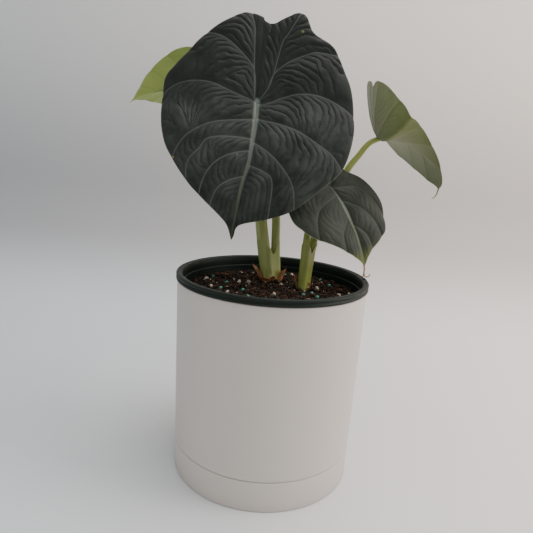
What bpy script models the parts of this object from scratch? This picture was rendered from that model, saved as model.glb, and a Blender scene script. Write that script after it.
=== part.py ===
"""Potted alocasia: four leaves on their petioles, in a nursery pot inside a cover pot with a saucer.

The frame: Z is up, the pot's axis is the Z axis, and the saucer's underside is at Z = 0.
All sizes below are in millimetres; MM turns them into Blender's metres.
"""
import math
import random

import bpy
from mathutils import Matrix, Vector

MM = 0.001

# ---------------------------------------------------------------- driving sizes
CLEARANCE = 0.3            # gap kept between pieces that touch

# Cover pot and saucer: one straight-sided, slightly tapered cylinder in two pieces
POT_HEIGHT = 176.0         # table to the top of the nursery pot's rim
COVER_TOP_RADIUS = 81.4
COVER_TAPER = 2.8          # how much smaller its radius is at the table
COVER_WALL = 2.4
COVER_FLOOR = 2.6
COVER_DRAIN_RADIUS = 4.5
COVER_DRAIN_CIRCLE = 38.0  # radius of the circle its drain holes stand on
COVER_DRAINS = 5
SAUCER_HEIGHT = 26.5
SAUCER_FLOOR = 2.4
WATER_DEPTH = 6.0          # the cover pot's floor stands this far above the saucer's

# Nursery pot, which hangs by its rolled rim on the cover pot's edge
RIM_OVERHANG = 1.1         # how far the rim stands out past the cover pot's edge
RIM_HEIGHT = 6.0
NURSERY_WALL = 1.2
NURSERY_TAPER = 18.2       # how much smaller its radius is at its base than at its neck
NURSERY_PLAY = 0.8         # nursery pot's side to the cover pot's inside
NURSERY_LIFT = 19.0        # how far it hangs clear of the cover pot's floor
NURSERY_DRAIN_RADIUS = 5.0
NURSERY_DRAIN_INSET = 14.0  # base's edge to the middle of its drain holes
NURSERY_DRAINS = 6

# Soil
SOIL_BELOW_RIM = 13.0
SOIL_MOUND = 2.0           # the middle stands this much above the edge
SOCKET_DEPTH = 8.0         # how deep the petioles are set

# Leaves
BLADE_THICKNESS = 0.9
ATTACH_ROUND = 8.0         # length over which the bend at the attachment is rounded
MIDRIB_ROUND = 3.0         # the same across the midrib

# Loose grains on the soil
BEAD_RADIUS = 1.7
PERLITE_RADIUS = 2.1
BARK_LENGTH = 9.0

TURN_STEPS = 48

# ---------------------------------------------------------------- worked out from them
LIP_BOTTOM = POT_HEIGHT - RIM_HEIGHT
COVER_TOP = LIP_BOTTOM - CLEARANCE
COVER_BASE_RADIUS = COVER_TOP_RADIUS - COVER_TAPER
COVER_FLOOR_BOTTOM = SAUCER_FLOOR + WATER_DEPTH
COVER_FLOOR_TOP = COVER_FLOOR_BOTTOM + COVER_FLOOR
COVER_RIM_INSIDE = COVER_TOP_RADIUS - COVER_WALL
RIM_RADIUS = COVER_TOP_RADIUS + RIM_OVERHANG
NURSERY_BOTTOM = COVER_FLOOR_TOP + NURSERY_LIFT
NURSERY_FLOOR_TOP = NURSERY_BOTTOM + NURSERY_WALL
NURSERY_NECK_RADIUS = COVER_RIM_INSIDE - NURSERY_PLAY
NURSERY_BASE_RADIUS = NURSERY_NECK_RADIUS - NURSERY_TAPER
NURSERY_DRAIN_CIRCLE = NURSERY_BASE_RADIUS - NURSERY_DRAIN_INSET
SOIL_TOP = POT_HEIGHT - SOIL_BELOW_RIM
SOCKET_BOTTOM = SOIL_TOP - SOCKET_DEPTH


def cover_radius(z):
    """Outer radius of the cover pot and saucer at a height."""
    return COVER_BASE_RADIUS + (COVER_TOP_RADIUS - COVER_BASE_RADIUS) * z / COVER_TOP


def nursery_radius(z):
    """Outer radius of the nursery pot's side at a height, below its rim."""
    share = (z - NURSERY_BOTTOM) / (LIP_BOTTOM - NURSERY_BOTTOM)
    return NURSERY_BASE_RADIUS + (NURSERY_NECK_RADIUS - NURSERY_BASE_RADIUS) * share


def above_soil(point):
    """A point given by its height above the soil, in the object's frame."""
    return Vector(point) + Vector((0.0, 0.0, SOIL_TOP))


SOIL_RADIUS = nursery_radius(SOIL_TOP) - NURSERY_WALL - CLEARANCE

# ---------------------------------------------------------------- scene and materials
for old in list(bpy.data.objects):
    bpy.data.objects.remove(old, do_unlink=True)

plant = bpy.data.collections.new("potted_alocasia")
cutters = bpy.data.collections.new("cutters")
for collection in (plant, cutters):
    bpy.context.scene.collection.children.link(collection)


def material(name, colour, roughness, metallic=0.0):
    """A Principled BSDF with a plain colour."""
    made = bpy.data.materials.new(name)
    made.use_nodes = True
    shader = made.node_tree.nodes["Principled BSDF"]
    shader.inputs["Base Color"].default_value = (*colour, 1.0)
    shader.inputs["Roughness"].default_value = roughness
    shader.inputs["Metallic"].default_value = metallic
    return made


WHITE_PLASTIC = material("white_plastic", (0.80, 0.78, 0.75), 0.45)
DARK_PLASTIC = material("dark_green_plastic", (0.03, 0.045, 0.035), 0.5)
SOIL = material("potting_soil", (0.03, 0.018, 0.012), 0.95)
DARK_BLADE = material("dark_leaf", (0.035, 0.045, 0.04), 0.5)
PALE_BLADE = material("leaf_underside", (0.14, 0.20, 0.06), 0.5)
PETIOLE = material("petiole", (0.33, 0.42, 0.14), 0.45)
SHEATH = material("dry_sheath", (0.35, 0.15, 0.05), 0.7)
BEAD = material("fertiliser_bead", (0.02, 0.22, 0.15), 0.35)
PERLITE = material("perlite", (0.75, 0.70, 0.62), 0.9)
BARK = material("bark_chip", (0.10, 0.045, 0.02), 0.9)


def add(name, data, finish, collection=plant):
    """Put a mesh or curve in the scene as a named object."""
    piece = bpy.data.objects.new(name, data)
    collection.objects.link(piece)
    data.materials.append(finish)
    return piece


def mesh_from(name, points, edges, faces):
    """A mesh from points in millimetres."""
    mesh = bpy.data.meshes.new(name)
    mesh.from_pydata([tuple(c * MM for c in p) for p in points], edges, faces)
    mesh.validate()
    return mesh


# ---------------------------------------------------------------- turned pieces
def turned(name, profile, finish, collection=plant, steps=TURN_STEPS):
    """Turn a profile of (radius, height) points about Z; it runs down its outer side."""
    points = [(radius, 0.0, z) for radius, z in profile]
    edges = [(i, i + 1) for i in range(len(points) - 1)]
    piece = add(name, mesh_from(name, points, edges, []), finish, collection)
    screw = piece.modifiers.new("turn", "SCREW")
    screw.angle = math.tau
    screw.steps = steps
    screw.render_steps = steps
    screw.use_merge_vertices = True
    screw.merge_threshold = 0.00001
    screw.use_smooth_shade = True
    return piece


def cut(piece, cutter):
    """Subtract a cutter, which stays in the scene as a hidden wire."""
    cutter.hide_render = True
    cutter.display_type = "WIRE"
    boolean = piece.modifiers.new("cut_" + cutter.name, "BOOLEAN")
    boolean.operation = "DIFFERENCE"
    boolean.solver = "EXACT"
    boolean.object = cutter


def drill(piece, name, radius, x, y, bottom, top, steps=16):
    """Drill an upright round hole from one height to another."""
    profile = [(0.0, top), (radius, top), (radius, bottom), (0.0, bottom)]
    cutter = turned(name, profile, SOIL, cutters, steps)
    cutter.location = (x * MM, y * MM, 0.0)
    cut(piece, cutter)


def drill_circle(piece, name, count, circle, radius, bottom, top):
    """Drill equal holes on a circle about the pot's axis."""
    for i in range(count):
        angle = math.tau * (i + 0.5) / count
        x = circle * math.cos(angle)
        y = circle * math.sin(angle)
        drill(piece, f"{name}_{i + 1}", radius, x, y, bottom, top)


def make_saucer():
    """The cup that the cover pot stands in; its side carries on the cover pot's side."""
    rim_outside = cover_radius(SAUCER_HEIGHT)
    rim_inside = rim_outside - COVER_WALL
    return turned("saucer", [
        (0.0, SAUCER_FLOOR),
        (COVER_BASE_RADIUS - COVER_WALL - 2.0, SAUCER_FLOOR),
        (COVER_BASE_RADIUS - COVER_WALL, SAUCER_FLOOR + 2.0),
        (rim_inside, SAUCER_HEIGHT),
        (rim_outside - 0.5, SAUCER_HEIGHT),
        (rim_outside, SAUCER_HEIGHT - 0.5),
        (COVER_BASE_RADIUS, 1.2),
        (COVER_BASE_RADIUS - 0.4, 0.4),
        (COVER_BASE_RADIUS - 1.2, 0.0),
        (0.0, 0.0),
    ], WHITE_PLASTIC)


def make_cover_pot():
    """A straight cylinder whose lower end steps in and stands inside the saucer."""
    shoulder = SAUCER_HEIGHT + CLEARANCE
    spigot_radius = COVER_BASE_RADIUS - COVER_WALL - CLEARANCE
    spigot_inside = spigot_radius - COVER_WALL
    pot = turned("cover_pot", [
        (0.0, COVER_FLOOR_TOP),
        (spigot_inside, COVER_FLOOR_TOP),
        (spigot_inside, shoulder),
        (cover_radius(shoulder + 4.0) - COVER_WALL, shoulder + 4.0),
        (COVER_RIM_INSIDE, COVER_TOP - 0.6),
        (COVER_RIM_INSIDE + 0.6, COVER_TOP),
        (COVER_TOP_RADIUS - 0.6, COVER_TOP),
        (COVER_TOP_RADIUS, COVER_TOP - 0.6),
        (cover_radius(shoulder + 0.6), shoulder + 0.6),
        (cover_radius(shoulder) - 0.6, shoulder),
        (spigot_radius, shoulder),
        (spigot_radius, COVER_FLOOR_BOTTOM + 1.5),
        (spigot_radius - 1.5, COVER_FLOOR_BOTTOM),
        (0.0, COVER_FLOOR_BOTTOM),
    ], WHITE_PLASTIC)
    drill_circle(pot, "cover_drain", COVER_DRAINS, COVER_DRAIN_CIRCLE, COVER_DRAIN_RADIUS,
                 COVER_FLOOR_BOTTOM - 1.0, COVER_FLOOR_TOP + 1.0)
    return pot


def make_nursery_pot():
    """A thin grower's pot that hangs by its rolled rim on the cover pot's edge."""
    mouth = NURSERY_NECK_RADIUS - NURSERY_WALL
    pot = turned("nursery_pot", [
        (0.0, NURSERY_FLOOR_TOP),
        (NURSERY_BASE_RADIUS - NURSERY_WALL, NURSERY_FLOOR_TOP),
        (nursery_radius(SOIL_TOP) - NURSERY_WALL, SOIL_TOP),
        (mouth, LIP_BOTTOM),
        (mouth + 0.6, POT_HEIGHT - 0.6),
        (mouth + 1.6, POT_HEIGHT),
        (RIM_RADIUS - 1.4, POT_HEIGHT),
        (RIM_RADIUS - 0.3, POT_HEIGHT - 0.5),
        (RIM_RADIUS, POT_HEIGHT - 1.5),
        (RIM_RADIUS - 1.2, LIP_BOTTOM + 0.8),
        (RIM_RADIUS - 2.0, LIP_BOTTOM),
        (NURSERY_NECK_RADIUS, LIP_BOTTOM),
        (NURSERY_BASE_RADIUS, NURSERY_BOTTOM + 1.0),
        (NURSERY_BASE_RADIUS - 1.0, NURSERY_BOTTOM),
        (0.0, NURSERY_BOTTOM),
    ], DARK_PLASTIC)
    drill_circle(pot, "nursery_drain", NURSERY_DRAINS, NURSERY_DRAIN_CIRCLE, NURSERY_DRAIN_RADIUS,
                 NURSERY_BOTTOM - 1.0, NURSERY_FLOOR_TOP + 1.0)
    return pot


# ---------------------------------------------------------------- petioles
# Each route starts at the bottom of its socket and ends under its blade's attachment. Heights
# here and in LEAVES are above the soil.
# foot: radius in the soil; top: radius under the blade. A petiole keeps its width low down
# and narrows mostly near its blade. beside: the neighbour that its foot keeps clear of.
PETIOLE_TAPER = 1.8
PETIOLES = {
    "front": {
        "foot": 5.9, "top": 2.9,
        "route": [(-4.0, 24.5), (-5.5, 25.0, 10.0), (-8.0, 26.0, 21.0), (-11.0, 27.5, 37.0),
                  (-14.0, 29.0, 55.0), (-18.0, 30.0, 87.0), (-22.0, 29.5, 122.0),
                  (-24.0, 23.0, 143.0)],
    },
    "back": {
        "foot": 4.0, "top": 2.5, "beside": "front",
        "route": [(3.3, 31.6), (2.4, 32.0, 12.0), (0.6, 32.5, 32.0), (-0.6, 33.5, 57.0),
                  (-7.0, 40.0, 99.0), (-26.0, 52.0, 135.0), (-53.0, 64.0, 153.0)],
    },
    "small": {
        "foot": 3.3, "top": 1.9,
        "route": [(26.0, 4.2), (26.6, 5.0, 12.0), (27.0, 6.0, 27.0), (27.5, 8.5, 48.0),
                  (31.5, 15.5, 66.0), (39.0, 21.5, 80.0)],
    },
    "side": {
        "foot": 3.8, "top": 2.3,
        "route": [(29.4, 11.6), (31.0, 13.0, 23.0), (34.6, 19.0, 43.0), (47.0, 29.0, 74.0),
                  (60.5, 38.0, 105.0), (69.5, 41.0, 118.0), (78.5, 44.5, 129.5)],
    },
}


def foot_shift(name):
    """How far a petiole's foot has to move so that its neighbour's foot doesn't touch it."""
    petiole = PETIOLES[name]
    if "beside" not in petiole:
        return Vector((0.0, 0.0))
    neighbour = PETIOLES[petiole["beside"]]
    apart = Vector(petiole["route"][0]) - Vector(neighbour["route"][0])
    needed = petiole["foot"] + neighbour["foot"] + CLEARANCE
    return apart.normalized() * max(0.0, needed - apart.length)


def foot_of(name):
    """Where a petiole stands on the soil."""
    return Vector(PETIOLES[name]["route"][0]) + foot_shift(name)


# ---------------------------------------------------------------- leaf blades
# Outline points are (across, along) from the attachment, along growing toward the tip, in a
# round that runs from the notch down the right side, over the tip and back up the left side,
# for a blade whose length is drawn_at.
# rise and lift are the slopes at the attachment, in degrees, of the tip half and the lobes;
# droop and lean are how far those turn back by the margin. left and right hold the same two
# angles for the blade's sides, and how much the first one changes over the blade's length.
LEAVES = {
    "front": {
        "at": (-23.3, 12.0, 153.5), "turn": (-2.0, 66.0, 0.0), "length": 210.0, "sway": -0.18,
        "left": (12.0, 24.0, 0.0), "right": (12.0, 24.0, 0.0),
        "rise": 10.0, "droop": 34.0, "lift": 8.0, "lean": 0.0,
        "drawn_at": 210.0,
        "outline": [(10, -69), (21, -74), (32, -79), (39, -75), (46, -61), (63, -51), (72, -35),
                    (81, -13), (85, 21), (80, 54), (65, 73), (47, 91), (29, 99), (6, 105),
                    (3, 114), (0, 117), (-3, 114), (-11, 103), (-31, 88), (-49, 73),
                    (-67, 52), (-76, 36), (-82, 14), (-83, -15), (-74, -29), (-63, -41),
                    (-55, -52), (-42, -63), (-20, -77), (-4, -76)],
    },
    "small": {
        "at": (45.1, 18.0, 88.5), "turn": (22.0, 60.0, 21.0), "length": 135.0, "sway": 0.0,
        "left": (14.0, 28.0, 0.0), "right": (14.0, 28.0, 0.0),
        "rise": 10.0, "droop": 36.0, "lift": 8.0, "lean": 0.0,
        "drawn_at": 135.0,
        "outline": [(1, -22), (5, -28), (12, -28), (18, -19), (22, -10), (32, -1), (38, 10),
                    (41, 23), (40, 35), (35, 51), (29, 57), (17, 63), (9, 68), (2, 75),
                    (-8, 67), (-16, 59), (-26, 50), (-36, 42), (-44, 35), (-50, 26), (-54, 15),
                    (-50, -3), (-40, -17), (-24, -28), (-9, -31), (-3, -27)],
    },
    "side": {
        "at": (86.6, 47.0, 134.0), "turn": (158.8, 42.1, -53.7), "length": 161.5, "sway": 0.05,
        "left": (-52.0, -65.6, -24.7), "right": (53.9, -9.0, -89.3),
        "rise": 63.2, "droop": 137.1, "lift": 66.5, "lean": -12.3,
        "drawn_at": 161.5,
        "outline": [(3, -65), (11, -69), (21, -68), (33, -65), (44, -61), (56, -54), (67, -41),
                    (74, -18), (74, 10), (69, 28), (58, 43), (42, 56), (28, 68), (17, 79),
                    (8, 87), (3, 92), (0, 94), (-4, 92), (-11, 88), (-21, 82), (-30, 71),
                    (-39, 56), (-48, 40), (-57, 24), (-65, 6), (-64, -14), (-55, -34),
                    (-46, -50), (-38, -60), (-30, -67), (-20, -72), (-11, -71), (-3, -66)],
    },
    "back": {
        "at": (-74.5, 72.0, 162.5), "turn": (-174.0, 33.0, 95.0), "length": 135.0, "sway": 0.05,
        "left": (23.5, 22.0, 0.0), "right": (23.5, 22.0, 0.0),
        "rise": 23.0, "droop": 75.0, "lift": 9.0, "lean": 5.0,
        "outline": None,
    },
}

# The right half of an even blade, as shares of its length; the left half mirrors it.
EVEN_HALF = [(0.0, -0.37), (0.03, -0.385), (0.08, -0.415), (0.14, -0.43), (0.19, -0.39),
             (0.235, -0.335), (0.275, -0.30), (0.33, -0.21), (0.375, -0.08), (0.385, 0.05),
             (0.365, 0.16), (0.315, 0.255), (0.24, 0.345), (0.165, 0.42), (0.08, 0.485),
             (0.035, 0.52), (0.012, 0.555), (0.0, 0.57)]
HALF_WIDTH_SHARE = 0.385
TIP_SHARE = 0.57
LOBE_SHARE = 0.43


def outline_of(leaf):
    """The blade's outline points, in millimetres, as a closed round."""
    if leaf["outline"]:
        growth = leaf["length"] / leaf["drawn_at"]
        return [Vector(point) * growth for point in leaf["outline"]]
    right = [Vector(share) * leaf["length"] for share in EVEN_HALF]
    left = [Vector((-point.x, point.y)) for point in reversed(right[1:-1])]
    return right + left


def smooth_round(points, per_span):
    """A closed Catmull-Rom curve through the points."""
    curve = []
    count = len(points)
    for i in range(count):
        p0, p1, p2, p3 = (points[(i + k) % count] for k in (-1, 0, 1, 2))
        for step in range(per_span):
            t = step / per_span
            curve.append(0.5 * (2 * p1 + (p2 - p0) * t + (2 * p0 - 5 * p1 + 4 * p2 - p3) * t ** 2
                                + (3 * p1 - p0 - 3 * p2 + p3) * t ** 3))
    return curve


def walk(distance, slope, turn, length):
    """Run and climb after walking along a path that starts at a slope and turns down."""
    start = math.radians(slope)
    rate = math.radians(turn) / length
    if abs(rate) < 1e-6:
        return distance * math.cos(start), distance * math.sin(start)
    now = start - rate * distance
    return (math.sin(start) - math.sin(now)) / rate, (math.cos(now) - math.cos(start)) / rate


def bent(leaf, across, along):
    """A flat blade's point, bent to shape, with the tip toward -Y and the top face up."""
    length = leaf["length"]
    side = math.copysign(1.0, across) if across else 0.0
    forward = (along + math.hypot(along, ATTACH_ROUND)) / 2
    fold, curl, twist = leaf["right"] if across > 0 else leaf["left"]
    out, out_climb = walk(math.hypot(across, MIDRIB_ROUND) - MIDRIB_ROUND,
                          fold + twist * forward / length, curl, length * HALF_WIDTH_SHARE)
    ahead, ahead_climb = walk(forward, leaf["rise"], leaf["droop"], length * TIP_SHARE)
    behind, behind_climb = walk((-along + math.hypot(along, ATTACH_ROUND)) / 2,
                                leaf["lift"], leaf["lean"], length * LOBE_SHARE)
    return Vector((side * out, behind - ahead, out_climb + ahead_climb + behind_climb))


def leaf_turn(leaf):
    """Heading about Z, then hang about X, then swing in the blade's own plane."""
    heading, hang, swing = (math.radians(angle) for angle in leaf["turn"])
    return (Matrix.Rotation(heading, 3, "Z") @ Matrix.Rotation(hang, 3, "X")
            @ Matrix.Rotation(swing, 3, "Z"))


def leaf_point(leaf, across, along):
    """A blade's point in the object's frame."""
    local = bent(leaf, across, along) - bent(leaf, 0.0, 0.0)
    local.x += leaf["sway"] * max(along, 0.0) ** 2 / leaf["length"]
    return leaf_turn(leaf) @ local + above_soil(leaf["at"])


def make_blade(name, leaf, finish, rings=5, per_span=2):
    """Rings of points between the attachment and the outline, given a thickness."""
    margin = smooth_round(outline_of(leaf), per_span)
    count = len(margin)
    points = [leaf_point(leaf, 0.0, 0.0)]
    faces = []
    for ring in range(1, rings + 1):
        share = ring / rings
        points += [leaf_point(leaf, point.x * share, point.y * share) for point in margin]
    for i in range(count):
        after = (i + 1) % count
        faces.append((0, 1 + i, 1 + after))
        for ring in range(rings - 1):
            inner = 1 + ring * count
            outer = inner + count
            faces.append((inner + i, outer + i, outer + after, inner + after))
    mesh = mesh_from(name, points, [], faces)
    mesh.shade_smooth()
    blade = add(name, mesh, finish)
    shell = blade.modifiers.new("thickness", "SOLIDIFY")
    shell.thickness = BLADE_THICKNESS * MM
    shell.offset = 0.0
    return blade


def spline_through(points, per_span):
    """An open Catmull-Rom curve through the points."""
    ends = [2 * points[0] - points[1]] + points + [2 * points[-1] - points[-2]]
    curve = []
    for i in range(len(points) - 1):
        p0, p1, p2, p3 = ends[i:i + 4]
        for step in range(per_span):
            t = step / per_span
            curve.append(0.5 * (2 * p1 + (p2 - p0) * t + (2 * p0 - 5 * p1 + 4 * p2 - p3) * t ** 2
                                + (3 * p1 - p0 - 3 * p2 + p3) * t ** 3))
    curve.append(points[-1].copy())
    return curve


def petiole_end(leaf, petiole, before):
    """The last point, short of the blade by enough for the stalk's round end to clear it."""
    target = above_soil(leaf["at"])
    face = leaf_turn(leaf) @ Vector((0.0, 0.0, 1.0))
    heading = (target - before).normalized()
    lean = math.sqrt(max(0.0, 1.0 - heading.dot(face) ** 2))
    folds = (abs(leaf["left"][0]), abs(leaf["right"][0]))
    steepest = math.radians(max(*folds, leaf["rise"], leaf["lift"]))
    reach = petiole["top"] * (lean + math.sin(steepest) / 2)
    short = (reach + BLADE_THICKNESS / 2 + CLEARANCE) / max(heading.dot(face), 0.3)
    return target - heading * short


def make_petiole(name, leaf):
    """A tapered stalk from its socket in the soil to the underside of its blade."""
    petiole = PETIOLES[name]
    foot = foot_of(name)
    shift = foot_shift(name)
    start = Vector((*foot, SOCKET_BOTTOM + CLEARANCE))
    knots = [start, Vector((*foot, SOIL_TOP))]
    for x, y, height in petiole["route"][1:]:
        share = 1.0 - height / leaf["at"][2]
        knots.append(above_soil((x + shift.x * share, y + shift.y * share, height)))
    knots.append(petiole_end(leaf, petiole, knots[-1]))
    path = spline_through(knots, 2)
    curve = bpy.data.curves.new(f"petiole_{name}", "CURVE")
    curve.dimensions = "3D"
    curve.bevel_depth = petiole["foot"] * MM
    curve.bevel_resolution = 3
    curve.use_fill_caps = True
    spline = curve.splines.new("POLY")
    spline.points.add(len(path) - 1)
    narrowing = 1.0 - petiole["top"] / petiole["foot"]
    for i, point in enumerate(path):
        share = (point - start).length / (path[-1] - start).length
        spline.points[i].co = (*(point * MM), 1.0)
        spline.points[i].radius = 1.0 - narrowing * share ** PETIOLE_TAPER
    return add(f"petiole_{name}", curve, PETIOLE)


def make_soil():
    """Soil up to a low mound, with a socket for each petiole."""
    base = NURSERY_BASE_RADIUS - NURSERY_WALL - CLEARANCE
    bottom = NURSERY_FLOOR_TOP + CLEARANCE
    mound = [(SOIL_RADIUS * k / 6, SOIL_TOP - SOIL_MOUND * (k / 6) ** 2) for k in range(6)]
    edge_low = nursery_radius(SOIL_TOP - SOIL_MOUND) - NURSERY_WALL - CLEARANCE
    soil = turned("potting_soil", mound + [(edge_low, SOIL_TOP - SOIL_MOUND), (base, bottom),
                                           (0.0, bottom)], SOIL)
    for name, petiole in PETIOLES.items():
        drill(soil, f"socket_{name}", petiole["foot"] + CLEARANCE, *foot_of(name), SOCKET_BOTTOM,
              SOIL_TOP + 3.0, 20)
    return soil


# ---------------------------------------------------------------- dry sheaths
# Each is a curved scale standing round a petiole's foot: the petiole it hugs, the way it
# faces in degrees, its arc in degrees, its height, how far it leans out and its gap.
SHEATHS = [
    ("sheath_left", "front", 165.0, 60.0, 15.0, 9.0, 1.6),
    ("sheath_left_low", "front", 230.0, 45.0, 8.0, 7.0, 1.4),
    ("sheath_right", "back", 325.0, 95.0, 13.0, 5.0, 1.4),
    ("sheath_small", "small", 175.0, 80.0, 14.0, 4.0, 1.4),
]
SHEATH_THICKNESS = 0.6


def make_sheath(name, hugs, facing, arc, height, lean, gap):
    """A papery scale, wide at its foot and pointed at its top."""
    foot_radius = PETIOLES[hugs]["foot"]
    x, y = foot_of(hugs)
    rows, columns = 6, 6
    points = []
    for row in range(rows + 1):
        up = row / rows
        radius = foot_radius + gap + lean * up ** 1.6
        spread = math.radians(arc) * (1.0 - 0.85 * up ** 2)
        for column in range(columns + 1):
            angle = math.radians(facing) + spread * (column / columns - 0.5)
            points.append((x + radius * math.cos(angle), y + radius * math.sin(angle),
                           SOIL_TOP + CLEARANCE + height * up))
    faces = []
    for row in range(rows):
        for column in range(columns):
            low = row * (columns + 1) + column
            high = low + columns + 1
            faces.append((low, low + 1, high + 1, high))
    sheath = add(name, mesh_from(name, points, [], faces), SHEATH)
    shell = sheath.modifiers.new("thickness", "SOLIDIFY")
    shell.thickness = SHEATH_THICKNESS * MM
    shell.offset = 0.0
    return sheath


# ---------------------------------------------------------------- grains on the soil
# Places on the soil, in millimetres, where its radius is GRAINS_DRAWN_AT.
GRAINS_DRAWN_AT = 75.8
BEADS = [(-43, -16), (-40, 5), (-19, -34), (27, -17), (34, -12), (38, -22), (46, 44), (52, 20),
         (-8, -52), (-55, 28), (12, 52), (-24, -18)]
PERLITE_GRAINS = [(-29, 7), (-21, 12), (-60, 16), (-31, 52), (-36, -27), (8, 10), (40, 8),
                  (30, -33), (19, 60), (-52, -8), (58, -6), (2, -24)]
BARK_CHIPS = [(-14, -10), (18, -44), (-46, 34), (44, 28), (-30, -42), (60, 12)]


def soil_height(x, y):
    """The height of the mound at a place on the soil."""
    return SOIL_TOP - SOIL_MOUND * (x * x + y * y) / SOIL_RADIUS ** 2


def make_grain(name, place, radius, finish, subdivisions, stretch=(1.0, 1.0, 1.0), unevenness=0.0):
    """A small round or broken grain lying on the soil."""
    x, y = (c * SOIL_RADIUS / GRAINS_DRAWN_AT for c in place)
    bpy.ops.mesh.primitive_ico_sphere_add(subdivisions=subdivisions, radius=radius * MM)
    grain = bpy.context.object
    grain.name = name
    grain.data.name = name
    dice = random.Random(name)
    for vertex in grain.data.vertices:
        push = 1.0 + unevenness * dice.uniform(-1.0, 1.0)
        vertex.co = Vector(c * s * push for c, s in zip(vertex.co, stretch))
    spin = Matrix.Rotation(dice.uniform(0.0, math.tau), 4, "Z")
    grain.data.transform(spin)
    lowest = min(vertex.co.z for vertex in grain.data.vertices)
    grain.location = (x * MM, y * MM, (soil_height(x, y) + CLEARANCE) * MM - lowest)
    for collection in list(grain.users_collection):
        collection.objects.unlink(grain)
    plant.objects.link(grain)
    grain.data.materials.append(finish)
    return grain


# ---------------------------------------------------------------- build
make_saucer()
make_cover_pot()
make_nursery_pot()
make_soil()
for name, leaf in LEAVES.items():
    make_petiole(name, leaf)
    make_blade(f"leaf_{name}", leaf, DARK_BLADE if name in ("front", "small") else PALE_BLADE)
for sheath in SHEATHS:
    make_sheath(*sheath)
for number, place in enumerate(BEADS, 1):
    make_grain(f"fertiliser_bead_{number}", place, BEAD_RADIUS, BEAD, 2)
for number, place in enumerate(PERLITE_GRAINS, 1):
    make_grain(f"perlite_{number}", place, PERLITE_RADIUS, PERLITE, 1, (1.0, 0.8, 0.8), 0.2)
for number, place in enumerate(BARK_CHIPS, 1):
    make_grain(f"bark_chip_{number}", place, BARK_LENGTH / 2, BARK, 1, (1.0, 0.4, 0.3), 0.2)
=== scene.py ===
# %% [markdown]
# # A potted alocasia
# The plant stands in a thin nursery pot, which hangs by its rolled rim inside a white cover pot
# with a saucer. This lesson keeps the solid model's places and sizes and gives every piece the
# shape detail and the finish of the real thing.

# %% Load the solid model and note its box
import math
import random

import bpy
import numpy as np
from mathutils import Matrix, Vector, noise


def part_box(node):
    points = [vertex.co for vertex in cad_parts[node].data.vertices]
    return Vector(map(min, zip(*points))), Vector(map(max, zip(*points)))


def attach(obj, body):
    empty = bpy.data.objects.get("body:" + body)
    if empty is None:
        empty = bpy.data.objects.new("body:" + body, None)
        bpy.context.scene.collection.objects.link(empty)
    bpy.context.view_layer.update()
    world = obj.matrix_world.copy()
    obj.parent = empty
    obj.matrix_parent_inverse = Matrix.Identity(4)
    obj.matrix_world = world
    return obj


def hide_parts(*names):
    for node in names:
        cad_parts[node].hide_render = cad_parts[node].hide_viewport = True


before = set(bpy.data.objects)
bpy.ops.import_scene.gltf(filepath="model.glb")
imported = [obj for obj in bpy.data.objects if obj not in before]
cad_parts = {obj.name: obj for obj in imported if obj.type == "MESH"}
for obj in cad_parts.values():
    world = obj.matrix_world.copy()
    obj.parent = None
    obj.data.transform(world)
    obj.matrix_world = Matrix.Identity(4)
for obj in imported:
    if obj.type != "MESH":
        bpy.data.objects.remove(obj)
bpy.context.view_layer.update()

MM = 0.001
print("solid pieces:", len(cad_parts))

# %% [markdown]
# ## Sums with shader sockets
# A finish is a small calculation. Wrapping a socket in a class with Python's operators lets the
# calculation be read as one: `1 - mask * 0.3` adds the Math nodes it needs. Everything that is
# not plain arithmetic goes through one method that adds any node, sets it up, and then fills
# its sockets with numbers or links.

# %% A socket that can be added and multiplied
class Wire:
    """A shader socket; arithmetic on it adds Math nodes."""

    def __init__(self, finish, socket):
        self.finish = finish
        self.socket = socket

    def math(self, operation, first, second=0.0):
        return self.finish.node("Math", {"operation": operation}, {0: first, 1: second})

    def __add__(self, other):
        return self.math("ADD", self, other)

    def __radd__(self, other):
        return self.math("ADD", other, self)

    def __sub__(self, other):
        return self.math("SUBTRACT", self, other)

    def __rsub__(self, other):
        return self.math("SUBTRACT", other, self)

    def __mul__(self, other):
        return self.math("MULTIPLY", self, other)

    def __rmul__(self, other):
        return self.math("MULTIPLY", other, self)

    def __pow__(self, other):
        return self.math("POWER", self, other)

    def size(self):
        return self.math("ABSOLUTE", self)

    def most(self, other):
        return self.math("MAXIMUM", self, other)

    def wave(self):
        return self.math("SINE", self)

    def between(self, low, high):
        """0 at low, 1 at high, and a smooth step from one to the other."""
        return self.finish.node("MapRange", {"interpolation_type": "SMOOTHSTEP"},
                                {"Value": self, "From Min": low, "From Max": high})


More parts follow.
